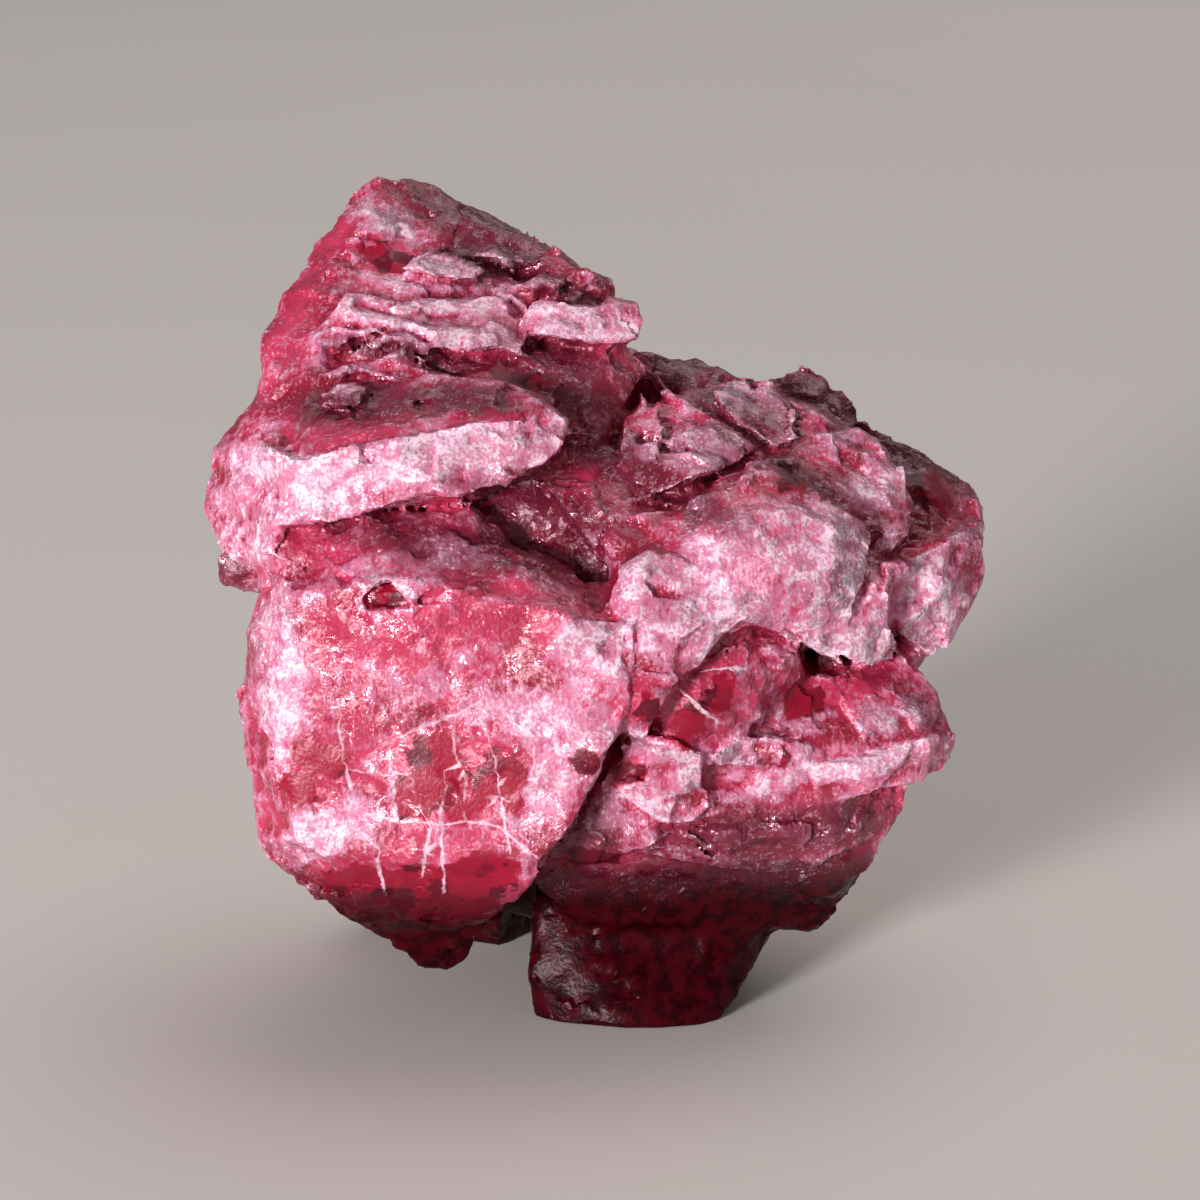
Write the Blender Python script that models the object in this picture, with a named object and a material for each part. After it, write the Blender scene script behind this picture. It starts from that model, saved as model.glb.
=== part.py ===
"""A rough spinel crystal group, one natural solid, standing on the flat under its foot and heel.

The group is drawn from the front on a sheet: across and up in millimetres, and depth behind the sheet. The
eye looks a little down on the sheet, so each corner is carried along its line of sight to its depth. Each
block is the convex hull of its corners, and the blocks grow together into one solid.
"""

import math

import bmesh
import bpy
from mathutils import Euler, Matrix, Vector

# The drawing is in millimetres and the part in metres.
MM = 0.001

# The drawing: how far the eye is from the sheet, and how far it looks down.
EYE_DISTANCE = 66.7
LOOK_DOWN = math.radians(15.0)
RIGHT = Vector((1, 0, 0))
UP = Vector((0, math.sin(LOOK_DOWN), math.cos(LOOK_DOWN)))
AWAY = Vector((0, math.cos(LOOK_DOWN), -math.sin(LOOK_DOWN)))

# How far below the sheet's middle the foot and heel are cut flat, and the size of the box that cuts them.
FLOOR_BELOW_SHEET = 8.9
FLOOR_BOX = 20.0

# Corners closer together than this become one.
WELD = 0.0005

SPINEL_RED = (0.62, 0.06, 0.14, 1.0)
SPINEL_ROUGHNESS = 0.45

# The octahedra that the group is grown from: (middle, half diagonal, share cut off its points, tip forward,
# lean). Their square sections lie in the sheet, turned by GRAIN_TURN. The last two angles, in degrees, set
# each one a little off the rest.
GRAIN_TURN = math.radians(16.0)
OCTAHEDRA = {
    "seed_left": ((-3.0, -1.7, 3.4), 4.0, 0.16, 4.0, -3.0),
    "seed_top": ((-3.2, 4.5, 5.3), 3.6, 0.14, -6.0, 2.0),
    "seed_middle": ((0.1, 0.5, 4.6), 4.5, 0.18, 3.0, 5.0),
    "seed_neck": ((-0.4, 3.6, 5.0), 2.8, 0.14, 5.0, -3.0),
    "seed_right": ((3.8, 0.6, 4.0), 3.4, 0.15, -4.0, 4.0),
    "seed_side": ((4.9, -0.4, 4.0), 2.8, 0.15, 4.0, 3.0),
    "seed_far": ((5.5, 1.5, 5.0), 2.0, 0.15, -5.0, -4.0),
    "seed_hump": ((2.6, 2.5, 5.2), 2.3, 0.15, 7.0, 3.0),
    "seed_low": ((2.6, -3.1, 3.8), 3.8, 0.14, 5.0, -2.0),
    "seed_foot": ((1.2, -6.0, 4.7), 2.6, 0.2, 0.0, 0.0),
    "seed_back_left": ((-4.4, 1.4, 6.0), 2.4, 0.12, 8.0, 6.0),
    "seed_back_right": ((2.8, 1.9, 6.8), 2.2, 0.12, -8.0, -5.0),
    "seed_back_low": ((-0.9, -2.9, 6.2), 2.3, 0.12, 6.0, -8.0),
    "seed_heel": ((-2.6, -4.9, 7.0), 3.2, 0.2, 4.0, 6.0),
    "seed_heel_small": ((-0.4, -5.6, 7.6), 2.0, 0.15, -6.0, -8.0),
}

# Each block is (rim, proud, back). The rim is its outline from the front and the proud corners stand in
# front of the rim. The back is the rim again, made smaller about its middle, moved (across, up) and set at
# one depth: (depth, share, across, up). Corners are (across, up, depth) in millimetres.
LOWER_LEFT = {
    "plate": (
        [
            (-6.7, 0.6, 0.2), (-7.1, -0.6, 0.3), (-6.95, -0.95, 0.3), (-7.3, -2.1, 0.1),
            (-7.15, -2.6, 0.1), (-6.85, -3.9, 0.0), (-6.9, -4.9, 0.2), (-6.3, -5.55, 0.3),
            (-4.7, -6.6, 0.6), (-3.0, -6.6, 0.4), (-2.0, -6.3, -0.3), (-1.45, -5.65, -1.3),
            (-0.6, -4.5, -1.8), (0.15, -3.0, -2.1), (0.65, -2.0, -2.3), (0.62, -1.6, -2.3),
            (0.3, -0.8, -2.2), (-0.4, 0.1, -1.4), (-1.0, 0.9, 0.0), (-2.4, 1.5, 0.8), (-3.6, 1.95, 1.2),
            (-5.0, 1.7, 1.0), (-6.2, 1.4, 0.6),
        ],
        [
            (-6.2, 0.2, -1.8), (-3.6, 0.3, -2.2), (-1.0, -0.2, -2.4), (-1.5, -5.1, -1.7),
            (-3.2, -5.25, -1.45), (-5.0, -5.1, -1.25), (-6.1, -4.6, -1.2), (-6.5, -2.0, -1.4),
        ],
        (4.6, 0.62, 0.8, 0.8),
    ),
    "cheek": (
        [
            (-6.6, 0.1, -0.4), (-6.5, 1.5, -1.1), (-5.6, 1.65, -1.3), (-4.9, 1.5, -0.8), (-4.4, 0.8, -1.2),
            (-5.0, 0.0, -1.5), (-6.1, -0.1, -1.3),
        ],
        [],
        (3.0, 0.8, 0.2, 0.0),
    ),
    "keel": (
        [
            (-5.6, -6.0, 1.0), (-4.7, -6.7, 0.9), (-4.1, -7.1, 1.0), (-3.6, -7.42, 1.2), (-3.0, -7.4, 1.2),
            (-2.7, -7.2, 1.2), (-2.3, -6.4, 0.8), (-2.6, -5.4, 0.4), (-5.2, -5.4, 0.4),
        ],
        [],
        (3.4, 0.55, 0.6, 1.2),
    ),
    "side_lump": (
        [
            (-7.8, 0.95, 3.2), (-7.7, 0.5, 3.2), (-7.4, 0.2, 3.2), (-6.9, 0.05, 3.2), (-6.4, 0.6, 2.6),
            (-6.6, 1.6, 2.6),
        ],
        [],
        (5.0, 0.6, 0.8, 0.2),
    ),
}

UPPER_LEFT = {
    "shelf": (
        [
            (-6.4, 3.0, -1.3), (-5.6, 2.9, -1.7), (-4.5, 3.05, -1.9), (-3.0, 3.4, -1.9), (-2.0, 3.7, -1.7),
            (-1.3, 4.0, -1.2), (-0.62, 3.6, -1.0), (-0.8, 3.0, -1.2), (-1.2, 2.7, -1.4), (-2.1, 2.25, -1.6),
            (-3.1, 2.05, -1.7), (-4.7, 1.75, -1.6), (-6.4, 1.35, -1.2),
        ],
        [(-5.0, 4.2, 0.6), (-2.6, 4.65, 0.6), (-1.5, 4.2, 0.2)],
        (5.0, 0.62, 0.2, 0.2),
    ),
    "left_lobe": (
        [
            (-7.3, 3.6, 1.3), (-7.8, 2.9, 1.5), (-8.0, 1.75, 1.4), (-7.5, 1.0, 0.8), (-6.75, 0.45, 0.0),
            (-6.4, 0.5, -1.0), (-6.35, 2.9, -1.3), (-6.9, 3.85, 0.9), (-6.5, 4.6, 1.9),
        ],
        [],
        (5.6, 0.6, 1.2, 0.2),
    ),
    "crown": (
        [
            (-6.95, 3.8, 1.6), (-6.6, 4.7, 1.9), (-6.75, 5.25, 2.3), (-6.3, 6.1, 2.9), (-5.9, 6.6, 3.3),
            (-5.5, 7.5, 4.0), (-5.1, 8.0, 4.4), (-4.4, 8.55, 4.8), (-3.4, 8.3, 5.0), (-2.2, 7.75, 5.2),
            (-1.1, 7.1, 5.0), (0.1, 6.45, 4.2), (0.6, 5.9, 3.4), (0.5, 5.2, 3.0), (-1.0, 4.6, 2.4),
            (-2.6, 4.4, 1.2), (-5.6, 3.5, 0.0), (-6.3, 3.0, -0.5), (-6.9, 3.2, 0.9),
        ],
        [(-5.5, 5.2, 1.3), (-5.2, 6.6, 2.6), (-4.6, 8.0, 4.1), (-2.6, 5.0, 1.6)],
        (7.4, 0.62, 0.4, -1.0),
    ),
}

TERRACES = {
    "terrace_knob": (
        [(-5.5, 4.2, 0.5), (-5.35, 4.0, 0.4), (-4.9, 4.0, 0.4), (-4.65, 4.15, 0.6), (-4.75, 4.35, 0.9)],
        [],
        (2.0, 0.8, 0.0, 0.1),
    ),
    "terrace_1": (
        [(-5.2, 4.7, 0.8), (-4.3, 4.85, 0.8), (-3.7, 5.0, 1.0), (-3.8, 5.25, 1.4), (-4.6, 5.15, 1.3)],
        [],
        (3.0, 0.8, 0.0, 0.1),
    ),
    "terrace_2": (
        [
            (-5.35, 5.5, 1.2), (-5.1, 6.05, 1.9), (-4.4, 6.1, 2.1), (-3.0, 5.8, 2.1), (-1.9, 5.9, 2.2),
            (-1.4, 5.6, 1.9), (-1.7, 4.85, 1.5), (-2.5, 4.95, 1.2), (-3.6, 5.1, 1.0), (-4.4, 5.4, 1.0),
        ],
        [],
        (4.6, 0.7, 0.1, 0.0),
    ),
    "terrace_3": (
        [
            (-1.45, 5.6, 1.8), (-1.1, 5.95, 2.1), (0.2, 5.95, 2.0), (0.7, 5.9, 1.9), (0.85, 5.5, 1.7),
            (0.75, 5.15, 1.6), (-0.5, 5.2, 1.4), (-1.3, 5.25, 1.4),
        ],
        [],
        (5.0, 0.6, -0.4, 0.0),
    ),
    "terrace_4": (
        [
            (-3.75, 6.75, 2.6), (-3.4, 6.95, 3.0), (-2.8, 6.95, 3.1), (-2.4, 6.6, 2.9), (-2.5, 6.35, 2.5),
            (-3.3, 6.45, 2.3), (-3.7, 6.6, 2.4),
        ],
        [],
        (4.6, 0.7, 0.0, 0.0),
    ),
    "terrace_5": (
        [(-2.4, 7.0, 3.3), (-2.1, 7.15, 3.6), (-1.6, 6.9, 3.5), (-1.5, 6.65, 3.1), (-2.2, 6.8, 3.0)],
        [],
        (5.0, 0.7, 0.0, 0.0),
    ),
    "terrace_6": (
        [
            (-1.4, 6.6, 3.2), (-1.0, 7.05, 4.0), (-0.5, 6.8, 3.9), (-0.25, 6.5, 3.3), (-1.0, 6.2, 2.7),
            (-1.4, 6.3, 2.8),
        ],
        [],
        (5.4, 0.6, -0.2, -0.3),
    ),
    "terrace_7": (
        [(-5.2, 7.2, 3.0), (-4.8, 7.35, 3.1), (-4.1, 7.3, 3.2), (-3.9, 7.6, 3.7), (-4.7, 7.7, 3.6)],
        [],
        (5.0, 0.7, 0.0, 0.0),
    ),
}

MIDDLE = {
    "column": (
        [
            (0.15, 5.1, 1.8), (0.65, 4.95, 2.0), (0.95, 4.6, 2.2), (0.6, 4.0, 1.8), (0.35, 3.6, 1.4),
            (0.0, 3.7, 1.6), (0.05, 4.4, 1.7),
        ],
        [],
        (4.4, 0.8, -0.2, -0.4),
    ),
    "little_ledge": (
        [(-1.1, 3.85, 1.4), (-0.2, 4.15, 1.7), (0.15, 4.1, 1.6), (0.1, 3.85, 1.4), (-0.8, 3.7, 1.3)],
        [],
        (4.0, 0.8, 0.0, 0.2),
    ),
    "saddle": (
        [
            (-1.1, 2.2, 0.0), (-0.4, 1.4, -0.8), (0.2, 0.9, -1.2), (0.7, 1.1, -1.3), (1.8, 1.5, -0.6),
            (1.5, 2.1, -0.1), (0.3, 3.1, 0.9), (-0.5, 2.9, 0.8),
        ],
        [(0.0, 1.9, -0.7)],
        (4.4, 0.8, 0.2, 0.2),
    ),
    "shoulder": (
        [
            (0.25, 3.3, 0.6), (0.5, 3.7, 1.2), (1.3, 4.2, 1.8), (1.8, 4.0, 1.7), (2.95, 3.1, 0.6),
            (2.0, 2.4, -0.4), (1.5, 2.0, -0.6), (0.5, 2.7, 0.0),
        ],
        [],
        (4.6, 0.7, 0.2, -0.4),
    ),
}

RIGHT_SIDE = {
    "slab": (
        [
            (0.3, 0.9, -1.4), (1.5, 1.5, -1.1), (2.0, 2.0, -0.8), (2.6, 2.5, -0.2), (3.0, 2.9, 0.3),
            (3.5, 2.8, 0.4), (4.0, 2.5, 0.2), (4.6, 2.1, 0.0), (5.0, 1.7, -0.2), (5.4, 0.9, -0.3),
            (5.35, 0.3, -0.4), (4.9, -0.3, -0.6), (3.9, -0.6, -1.0), (2.9, -0.6, -1.3), (1.0, 0.0, -1.8),
        ],
        [(4.6, 1.5, -1.0), (3.6, 1.8, -1.2), (2.2, 1.3, -1.6), (4.7, 0.1, -1.2), (2.6, -0.2, -1.8)],
        (4.4, 0.7, 0.2, 0.2),
    ),
    "slab_left": (
        [
            (0.2, 0.8, -1.5), (0.3, -0.6, -2.0), (0.62, -1.6, -2.1), (1.5, -1.75, -1.8), (2.4, -1.0, -1.5),
            (2.95, -0.5, -1.3), (3.2, 0.4, -1.2), (2.0, 1.0, -1.4), (1.0, 1.2, -1.5),
        ],
        [(0.7, 0.6, -2.1), (0.7, -0.6, -2.4), (1.6, -0.4, -2.1), (1.3, -1.4, -2.2)],
        (3.6, 0.8, 0.4, 0.5),
    ),
    "slab_tip": (
        [
            (0.5, -2.4, -1.9), (0.75, -2.72, -1.7), (1.0, -2.7, -1.6), (1.55, -1.7, -1.8),
            (1.3, -1.0, -1.9), (0.5, -1.2, -2.0),
        ],
        [(0.8, -2.0, -2.2)],
        (1.5, 0.7, 0.3, 0.8),
    ),
    "slab_right": (
        [
            (4.1, -0.9, -0.7), (4.7, -1.2, -0.4), (5.3, -1.35, -0.2), (5.6, -1.2, 0.0), (5.9, -0.7, 0.1),
            (6.1, 0.7, 0.2), (5.4, 1.0, 0.0), (4.6, 0.4, -0.4), (3.9, -0.4, -0.8),
        ],
        [(5.3, -0.2, -0.6)],
        (3.6, 0.75, -0.2, 0.3),
    ),
    "far_face": (
        [
            (5.4, 1.0, 0.7), (6.0, 0.8, 0.8), (7.1, 1.4, 1.3), (7.6, 1.2, 1.7), (7.72, 0.6, 1.9),
            (7.4, -0.2, 1.7), (7.0, -0.85, 1.4), (6.65, -1.35, 1.3), (6.0, -0.8, 0.8), (5.6, -0.2, 0.5),
        ],
        [(6.8, 0.3, 0.8)],
        (5.2, 0.6, -0.8, 0.2),
    ),
    "far_roof": (
        [
            (5.4, 3.5, 4.0), (6.3, 3.2, 4.2), (7.0, 2.7, 4.1), (7.5, 2.2, 3.8), (7.7, 1.6, 3.2),
            (7.6, 1.1, 2.7), (7.0, 1.3, 2.1), (6.1, 0.8, 1.6), (5.6, 2.0, 2.2),
        ],
        [],
        (6.4, 0.5, -0.8, -0.8),
    ),
    "knob": (
        [
            (2.3, 4.1, 2.0), (2.6, 4.4, 2.8), (3.1, 4.4, 3.0), (3.6, 4.1, 2.8), (3.95, 3.6, 2.0),
            (3.8, 3.2, 1.5), (3.5, 3.1, 1.3), (2.5, 3.8, 1.6),
        ],
        [],
        (4.6, 0.7, 0.0, -0.8),
    ),
    "ridge": (
        [
            (4.0, 3.9, 2.4), (4.6, 3.65, 2.4), (5.2, 3.4, 2.6), (5.8, 3.0, 2.4), (6.15, 2.5, 2.0),
            (6.2, 1.9, 1.4), (5.9, 1.0, 0.6), (5.4, 1.2, 0.4), (4.9, 2.1, 0.8), (4.0, 3.2, 1.4),
        ],
        [],
        (4.8, 0.7, -0.3, -0.6),
    ),
    "back_hump_1": (
        [
            (0.65, 4.9, 3.8), (1.1, 4.75, 4.0), (1.9, 4.87, 4.4), (2.4, 4.65, 4.3), (2.95, 4.4, 4.0),
            (2.0, 3.6, 3.0),
        ],
        [],
        (6.6, 0.6, -0.2, -1.2),
    ),
    "back_hump_2": (
        [
            (3.3, 4.4, 4.6), (3.6, 4.57, 4.9), (3.9, 4.6, 5.0), (4.5, 4.4, 5.1), (4.9, 4.15, 5.0),
            (5.2, 3.8, 4.8), (5.4, 3.45, 4.4), (4.0, 3.4, 3.4),
        ],
        [],
        (7.0, 0.6, -0.4, -1.4),
    ),
}

LOWER_RIGHT = {
    "belly": (
        [
            (0.6, -1.2, 0.4), (2.9, -0.8, 0.6), (4.2, -0.8, 0.9), (5.6, -0.9, 1.4), (6.4, -1.2, 1.6),
            (6.8, -1.8, 1.6), (6.95, -2.5, 1.3), (7.1, -2.8, 1.2), (6.9, -3.4, 1.2), (6.3, -3.7, 1.0),
            (5.0, -4.0, 0.4), (2.6, -4.2, 0.0), (0.0, -4.2, -0.2), (-0.4, -3.6, -0.2), (0.2, -2.0, 0.0),
        ],
        [(6.4, -2.9, 0.5), (4.6, -2.9, -0.1), (2.6, -2.8, -0.5), (1.0, -2.9, -0.6), (5.4, -3.5, 0.0)],
        (5.8, 0.58, -0.6, 0.4),
    ),
    "belly_lump": (
        [
            (2.9, -0.55, -0.3), (3.9, -0.6, -0.1), (4.15, -1.2, 0.0), (3.95, -1.7, 0.1), (3.5, -2.3, 0.0),
            (2.95, -2.2, -0.2), (2.85, -1.4, -0.3),
        ],
        [(3.3, -0.9, -0.6), (3.7, -1.3, -0.5), (3.3, -1.7, -0.6)],
        (2.4, 0.9, 0.0, 0.0),
    ),
    "belly_ledge": (
        [
            (-0.1, -3.2, -0.4), (0.9, -3.4, -0.6), (2.0, -3.4, -0.6), (2.3, -4.1, -0.5), (1.6, -4.6, -0.4),
            (0.3, -4.6, -0.3), (-0.6, -4.3, -0.3),
        ],
        [],
        (2.0, 0.9, 0.0, 0.0),
    ),
    "skirt": (
        [
            (-0.8, -4.6, 0.3), (0.0, -3.4, 0.0), (2.0, -3.5, -0.2), (4.4, -4.0, 0.2), (5.4, -3.9, 0.6),
            (6.25, -3.7, 1.3), (6.2, -4.0, 1.4), (5.7, -4.8, 1.4), (5.1, -5.7, 1.5), (4.6, -6.0, 1.6),
            (3.0, -5.6, 1.0), (1.0, -5.5, 0.7), (-1.0, -5.3, 0.6),
        ],
        [(4.6, -4.8, 0.2), (2.5, -4.7, -0.2), (0.5, -4.7, -0.1)],
        (5.6, 0.6, -0.2, 0.8),
    ),
    "underside": (
        [
            (-1.4, -5.6, 1.0), (-0.9, -6.0, 1.3), (-0.3, -6.4, 1.6), (0.5, -6.4, 1.5), (1.8, -6.3, 1.6),
            (3.6, -6.6, 2.2), (4.2, -6.72, 2.6), (4.5, -6.5, 2.6), (5.1, -5.7, 2.2), (5.4, -5.0, 2.0),
            (2.0, -5.0, 0.8), (-1.0, -4.8, 0.7),
        ],
        [],
        (5.6, 0.62, -0.2, 1.0),
    ),
}

# The later growth that fills the deep furrows between the larger blocks.
FILLS = {
    "recess": (
        [
            (-4.8, 1.4, 0.6), (-4.6, 2.5, 0.2), (-2.7, 2.7, 0.5), (-1.2, 3.2, 0.6), (-0.2, 3.2, 0.8),
            (0.35, 2.2, 0.3), (0.45, 1.0, 0.1), (0.5, 0.1, -0.3), (-0.2, 0.0, 0.2), (-1.0, 0.8, 1.2),
            (-2.2, 1.4, 1.4),
        ],
        [(-1.7, 2.3, 0.0), (-0.7, 1.9, 0.0)],
        (4.6, 0.8, 0.0, 0.0),
    ),
    "high_recess": (
        [
            (-2.5, 4.6, 1.0), (-1.0, 5.2, 1.6), (0.3, 5.2, 1.9), (0.8, 4.6, 2.0), (0.6, 3.6, 1.1),
            (-0.2, 3.0, 0.8), (-1.2, 3.3, 0.8), (-2.3, 3.9, 0.7),
        ],
        [(-0.6, 4.4, 1.1)],
        (4.6, 0.8, 0.0, 0.0),
    ),
    "web": (
        [
            (1.0, 2.2, 0.4), (1.4, 4.2, 2.1), (2.4, 4.4, 2.6), (3.3, 4.3, 2.9), (4.4, 3.9, 2.7),
            (5.6, 2.9, 2.2), (6.0, 1.4, 1.1), (5.2, 0.6, 0.6), (2.0, 1.6, 0.3),
        ],
        [(2.9, 3.2, 1.0), (3.9, 2.8, 1.1), (5.2, 1.4, 0.5)],
        (5.2, 0.85, 0.0, -0.2),
    ),
    "belly_face": (
        [
            (0.8, -3.0, -1.0), (1.1, -2.2, -1.3), (1.9, -1.2, -1.2), (2.9, -0.8, -0.9), (3.4, -1.6, -0.6),
            (3.1, -2.8, -0.6), (2.2, -3.4, -0.8), (1.2, -3.4, -0.9),
        ],
        [(2.0, -2.0, -1.45), (2.6, -1.7, -1.15), (1.6, -2.7, -1.3)],
        (2.4, 0.9, 0.0, 0.0),
    ),
    "belly_left": (
        [
            (-1.2, -5.2, -0.2), (-0.6, -4.2, -0.8), (0.2, -3.2, -1.2), (1.2, -2.9, -1.1), (1.7, -3.7, -0.9),
            (1.2, -4.7, -0.6), (0.0, -5.3, -0.1),
        ],
        [],
        (2.4, 0.9, 0.0, 0.0),
    ),
    "low_back": (
        [
            (-3.2, -4.6, 3.4), (-1.4, -3.9, 2.0), (0.2, -4.6, 2.2), (0.4, -6.2, 3.2), (-1.0, -6.4, 4.4),
            (-2.6, -6.0, 4.6),
        ],
        [],
        (8.2, 0.8, -0.6, 0.6),
    ),
}

# The foot in front. The heel behind it is grown from octahedra.
FOOT = {
    "foot": (
        [
            (-1.3, -5.6, 2.4), (-1.38, -7.5, 2.2), (-1.3, -8.8, 2.2), (-0.6, -9.0, 1.7), (0.8, -9.0, 1.4),
            (1.8, -8.9, 1.6), (2.4, -8.4, 2.0), (2.9, -7.6, 2.4), (3.4, -6.8, 2.8), (3.2, -5.6, 2.4),
        ],
        [],
        (6.3, 0.72, 0.0, 1.0),
    ),
}

# Hollows cut into the group, drawn as the blocks are.
HOLLOWS = {
    "pocket_under_slab": (
        [
            (4.1, -0.7, 0.2), (4.1, -1.4, 0.2), (4.5, -1.65, 0.2), (4.9, -1.35, 0.2), (5.3, -1.35, 0.4),
            (5.2, -0.7, 0.2),
        ],
        [],
        (2.8, 0.6, 0.0, 0.2),
    ),
}

BLOCK_GROUPS = [LOWER_LEFT, UPPER_LEFT, TERRACES, MIDDLE, RIGHT_SIDE, LOWER_RIGHT, FILLS, FOOT]


def on_sheet(across, up, depth):
    """The point seen at (across, up) on the sheet, carried along its line of sight to its depth."""
    spread = 1 + depth / EYE_DISTANCE
    return (RIGHT * across + UP * up) * spread + AWAY * depth


def block_corners(rim, proud, back):
    """A block's corners: its rim, its proud corners and the rim's smaller copy at the back."""
    depth, share, shift_across, shift_up = back
    middle_across = sum(corner[0] for corner in rim) / len(rim)
    middle_up = sum(corner[1] for corner in rim) / len(rim)
    behind = [
        (
            middle_across + (across - middle_across) * share + shift_across,
            middle_up + (up - middle_up) * share + shift_up,
            depth,
        )
        for across, up, _ in rim
    ]
    return [on_sheet(*corner) for corner in [*rim, *proud, *behind]]


def octahedron_corners(middle, half_diagonal, cut, tip, lean):
    """The corners of an octahedron with cut points, placed by its middle on the sheet."""
    grain = Matrix((RIGHT, UP, -AWAY)).transposed()
    turned = grain @ Euler((math.radians(tip), math.radians(lean), GRAIN_TURN), "XYZ").to_matrix()
    axes = [turned.col[i] * half_diagonal for i in range(3)]
    corners = []
    for axis in axes:
        for side in (1, -1):
            point = on_sheet(*middle) + axis * side * (1 - cut)
            corners += [point + other * way * cut for other in axes if other is not axis for way in (1, -1)]
    return corners


def hull_object(name, corners):
    """A convex block around the corners, given in millimetres."""
    mesh = bpy.data.meshes.new(name)
    shape = bmesh.new()
    for corner in corners:
        shape.verts.new(corner)
    made = bmesh.ops.convex_hull(shape, input=shape.verts)
    inside = made["geom_interior"] + made["geom_unused"]
    spare = {item for item in inside if isinstance(item, bmesh.types.BMVert)}
    bmesh.ops.delete(shape, geom=list(spare), context="VERTS")
    bmesh.ops.recalc_face_normals(shape, faces=shape.faces)
    shape.to_mesh(mesh)
    shape.free()
    block = bpy.data.objects.new(name, mesh)
    bpy.context.collection.objects.link(block)
    return block


def combine(body, other, operation):
    """Joins or cuts the body by the other object, which is then removed."""
    step = body.modifiers.new(operation.title(), "BOOLEAN")
    step.operation = operation
    step.solver = "EXACT"
    step.object = other
    shape = bmesh.new()
    shape.from_object(body, bpy.context.evaluated_depsgraph_get())
    body.modifiers.remove(step)
    shape.to_mesh(body.data)
    shape.free()
    bpy.data.objects.remove(other, do_unlink=True)


def below_floor():
    """A box that takes away everything under the resting flat."""
    top = -FLOOR_BELOW_SHEET
    corners = [
        Vector((across, back, up))
        for across in (-FLOOR_BOX, FLOOR_BOX)
        for back in (-FLOOR_BOX, FLOOR_BOX)
        for up in (top - FLOOR_BOX, top)
    ]
    return hull_object("below_floor", corners)


def weld(body):
    """Joins corners closer than the welding distance, which the unions leave where edges nearly meet."""
    shape = bmesh.new()
    shape.from_mesh(body.data)
    bmesh.ops.remove_doubles(shape, verts=shape.verts, dist=WELD)
    bmesh.ops.dissolve_degenerate(shape, edges=shape.edges, dist=WELD)
    bmesh.ops.triangulate(shape, faces=shape.faces)
    shape.to_mesh(body.data)
    shape.free()


def fill_voids(body):
    """Closes the small voids between the blocks: of all the shells, only the outer one stays."""
    shape = bmesh.new()
    shape.from_mesh(body.data)
    left = set(shape.verts)
    shells = []
    while left:
        start = left.pop()
        shell = {start}
        waiting = [start]
        while waiting:
            vertex = waiting.pop()
            near = {edge.other_vert(vertex) for edge in vertex.link_edges} & left
            left -= near
            shell |= near
            waiting += near
        shells.append(shell)
    outer = max(shells, key=len)
    spare = [vertex for vertex in shape.verts if vertex not in outer]
    bmesh.ops.delete(shape, geom=spare, context="VERTS")
    shape.to_mesh(body.data)
    shape.free()


def stand_up(body):
    """Centres the solid's box over the origin with its flat on the floor, and turns it into metres."""
    places = [vertex.co for vertex in body.data.vertices]
    low = Vector([min(place[axis] for place in places) for axis in range(3)])
    high = Vector([max(place[axis] for place in places) for axis in range(3)])
    foot = Vector(((low.x + high.x) / 2, (low.y + high.y) / 2, low.z))
    for vertex in body.data.vertices:
        vertex.co = (vertex.co - foot) * MM


def make_spinel():
    """The blocks grown together into one solid."""
    blocks = [hull_object(name, octahedron_corners(*form)) for name, form in OCTAHEDRA.items()]
    for group in BLOCK_GROUPS:
        blocks += [hull_object(name, block_corners(*form)) for name, form in group.items()]
    body = blocks[0]
    for block in blocks[1:]:
        combine(body, block, "UNION")
    for name, form in HOLLOWS.items():
        combine(body, hull_object(name, block_corners(*form)), "DIFFERENCE")
    combine(body, below_floor(), "DIFFERENCE")
    weld(body)
    fill_voids(body)
    stand_up(body)
    body.name = "spinel"
    body.data.name = "spinel"
    return body


def spinel_material():
    material = bpy.data.materials.new("spinel_red")
    material.use_nodes = True
    shader = material.node_tree.nodes["Principled BSDF"]
    shader.inputs["Base Color"].default_value = SPINEL_RED
    shader.inputs["Roughness"].default_value = SPINEL_ROUGHNESS
    shader.inputs["Metallic"].default_value = 0.0
    return material


def main():
    for obj in list(bpy.data.objects):
        bpy.data.objects.remove(obj, do_unlink=True)
    spinel = make_spinel()
    spinel.data.materials.clear()
    spinel.data.materials.append(spinel_material())


main()
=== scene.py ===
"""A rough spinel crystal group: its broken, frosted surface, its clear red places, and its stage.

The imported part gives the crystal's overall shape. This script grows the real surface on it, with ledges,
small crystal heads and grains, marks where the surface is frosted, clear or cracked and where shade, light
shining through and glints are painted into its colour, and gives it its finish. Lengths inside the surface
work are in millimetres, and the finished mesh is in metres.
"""

import math
from types import SimpleNamespace

import bmesh
import bpy
import numpy as np
from bpy.props import FloatProperty, FloatVectorProperty, IntProperty, PointerProperty
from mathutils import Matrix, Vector
from mathutils.bvhtree import BVHTree


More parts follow.
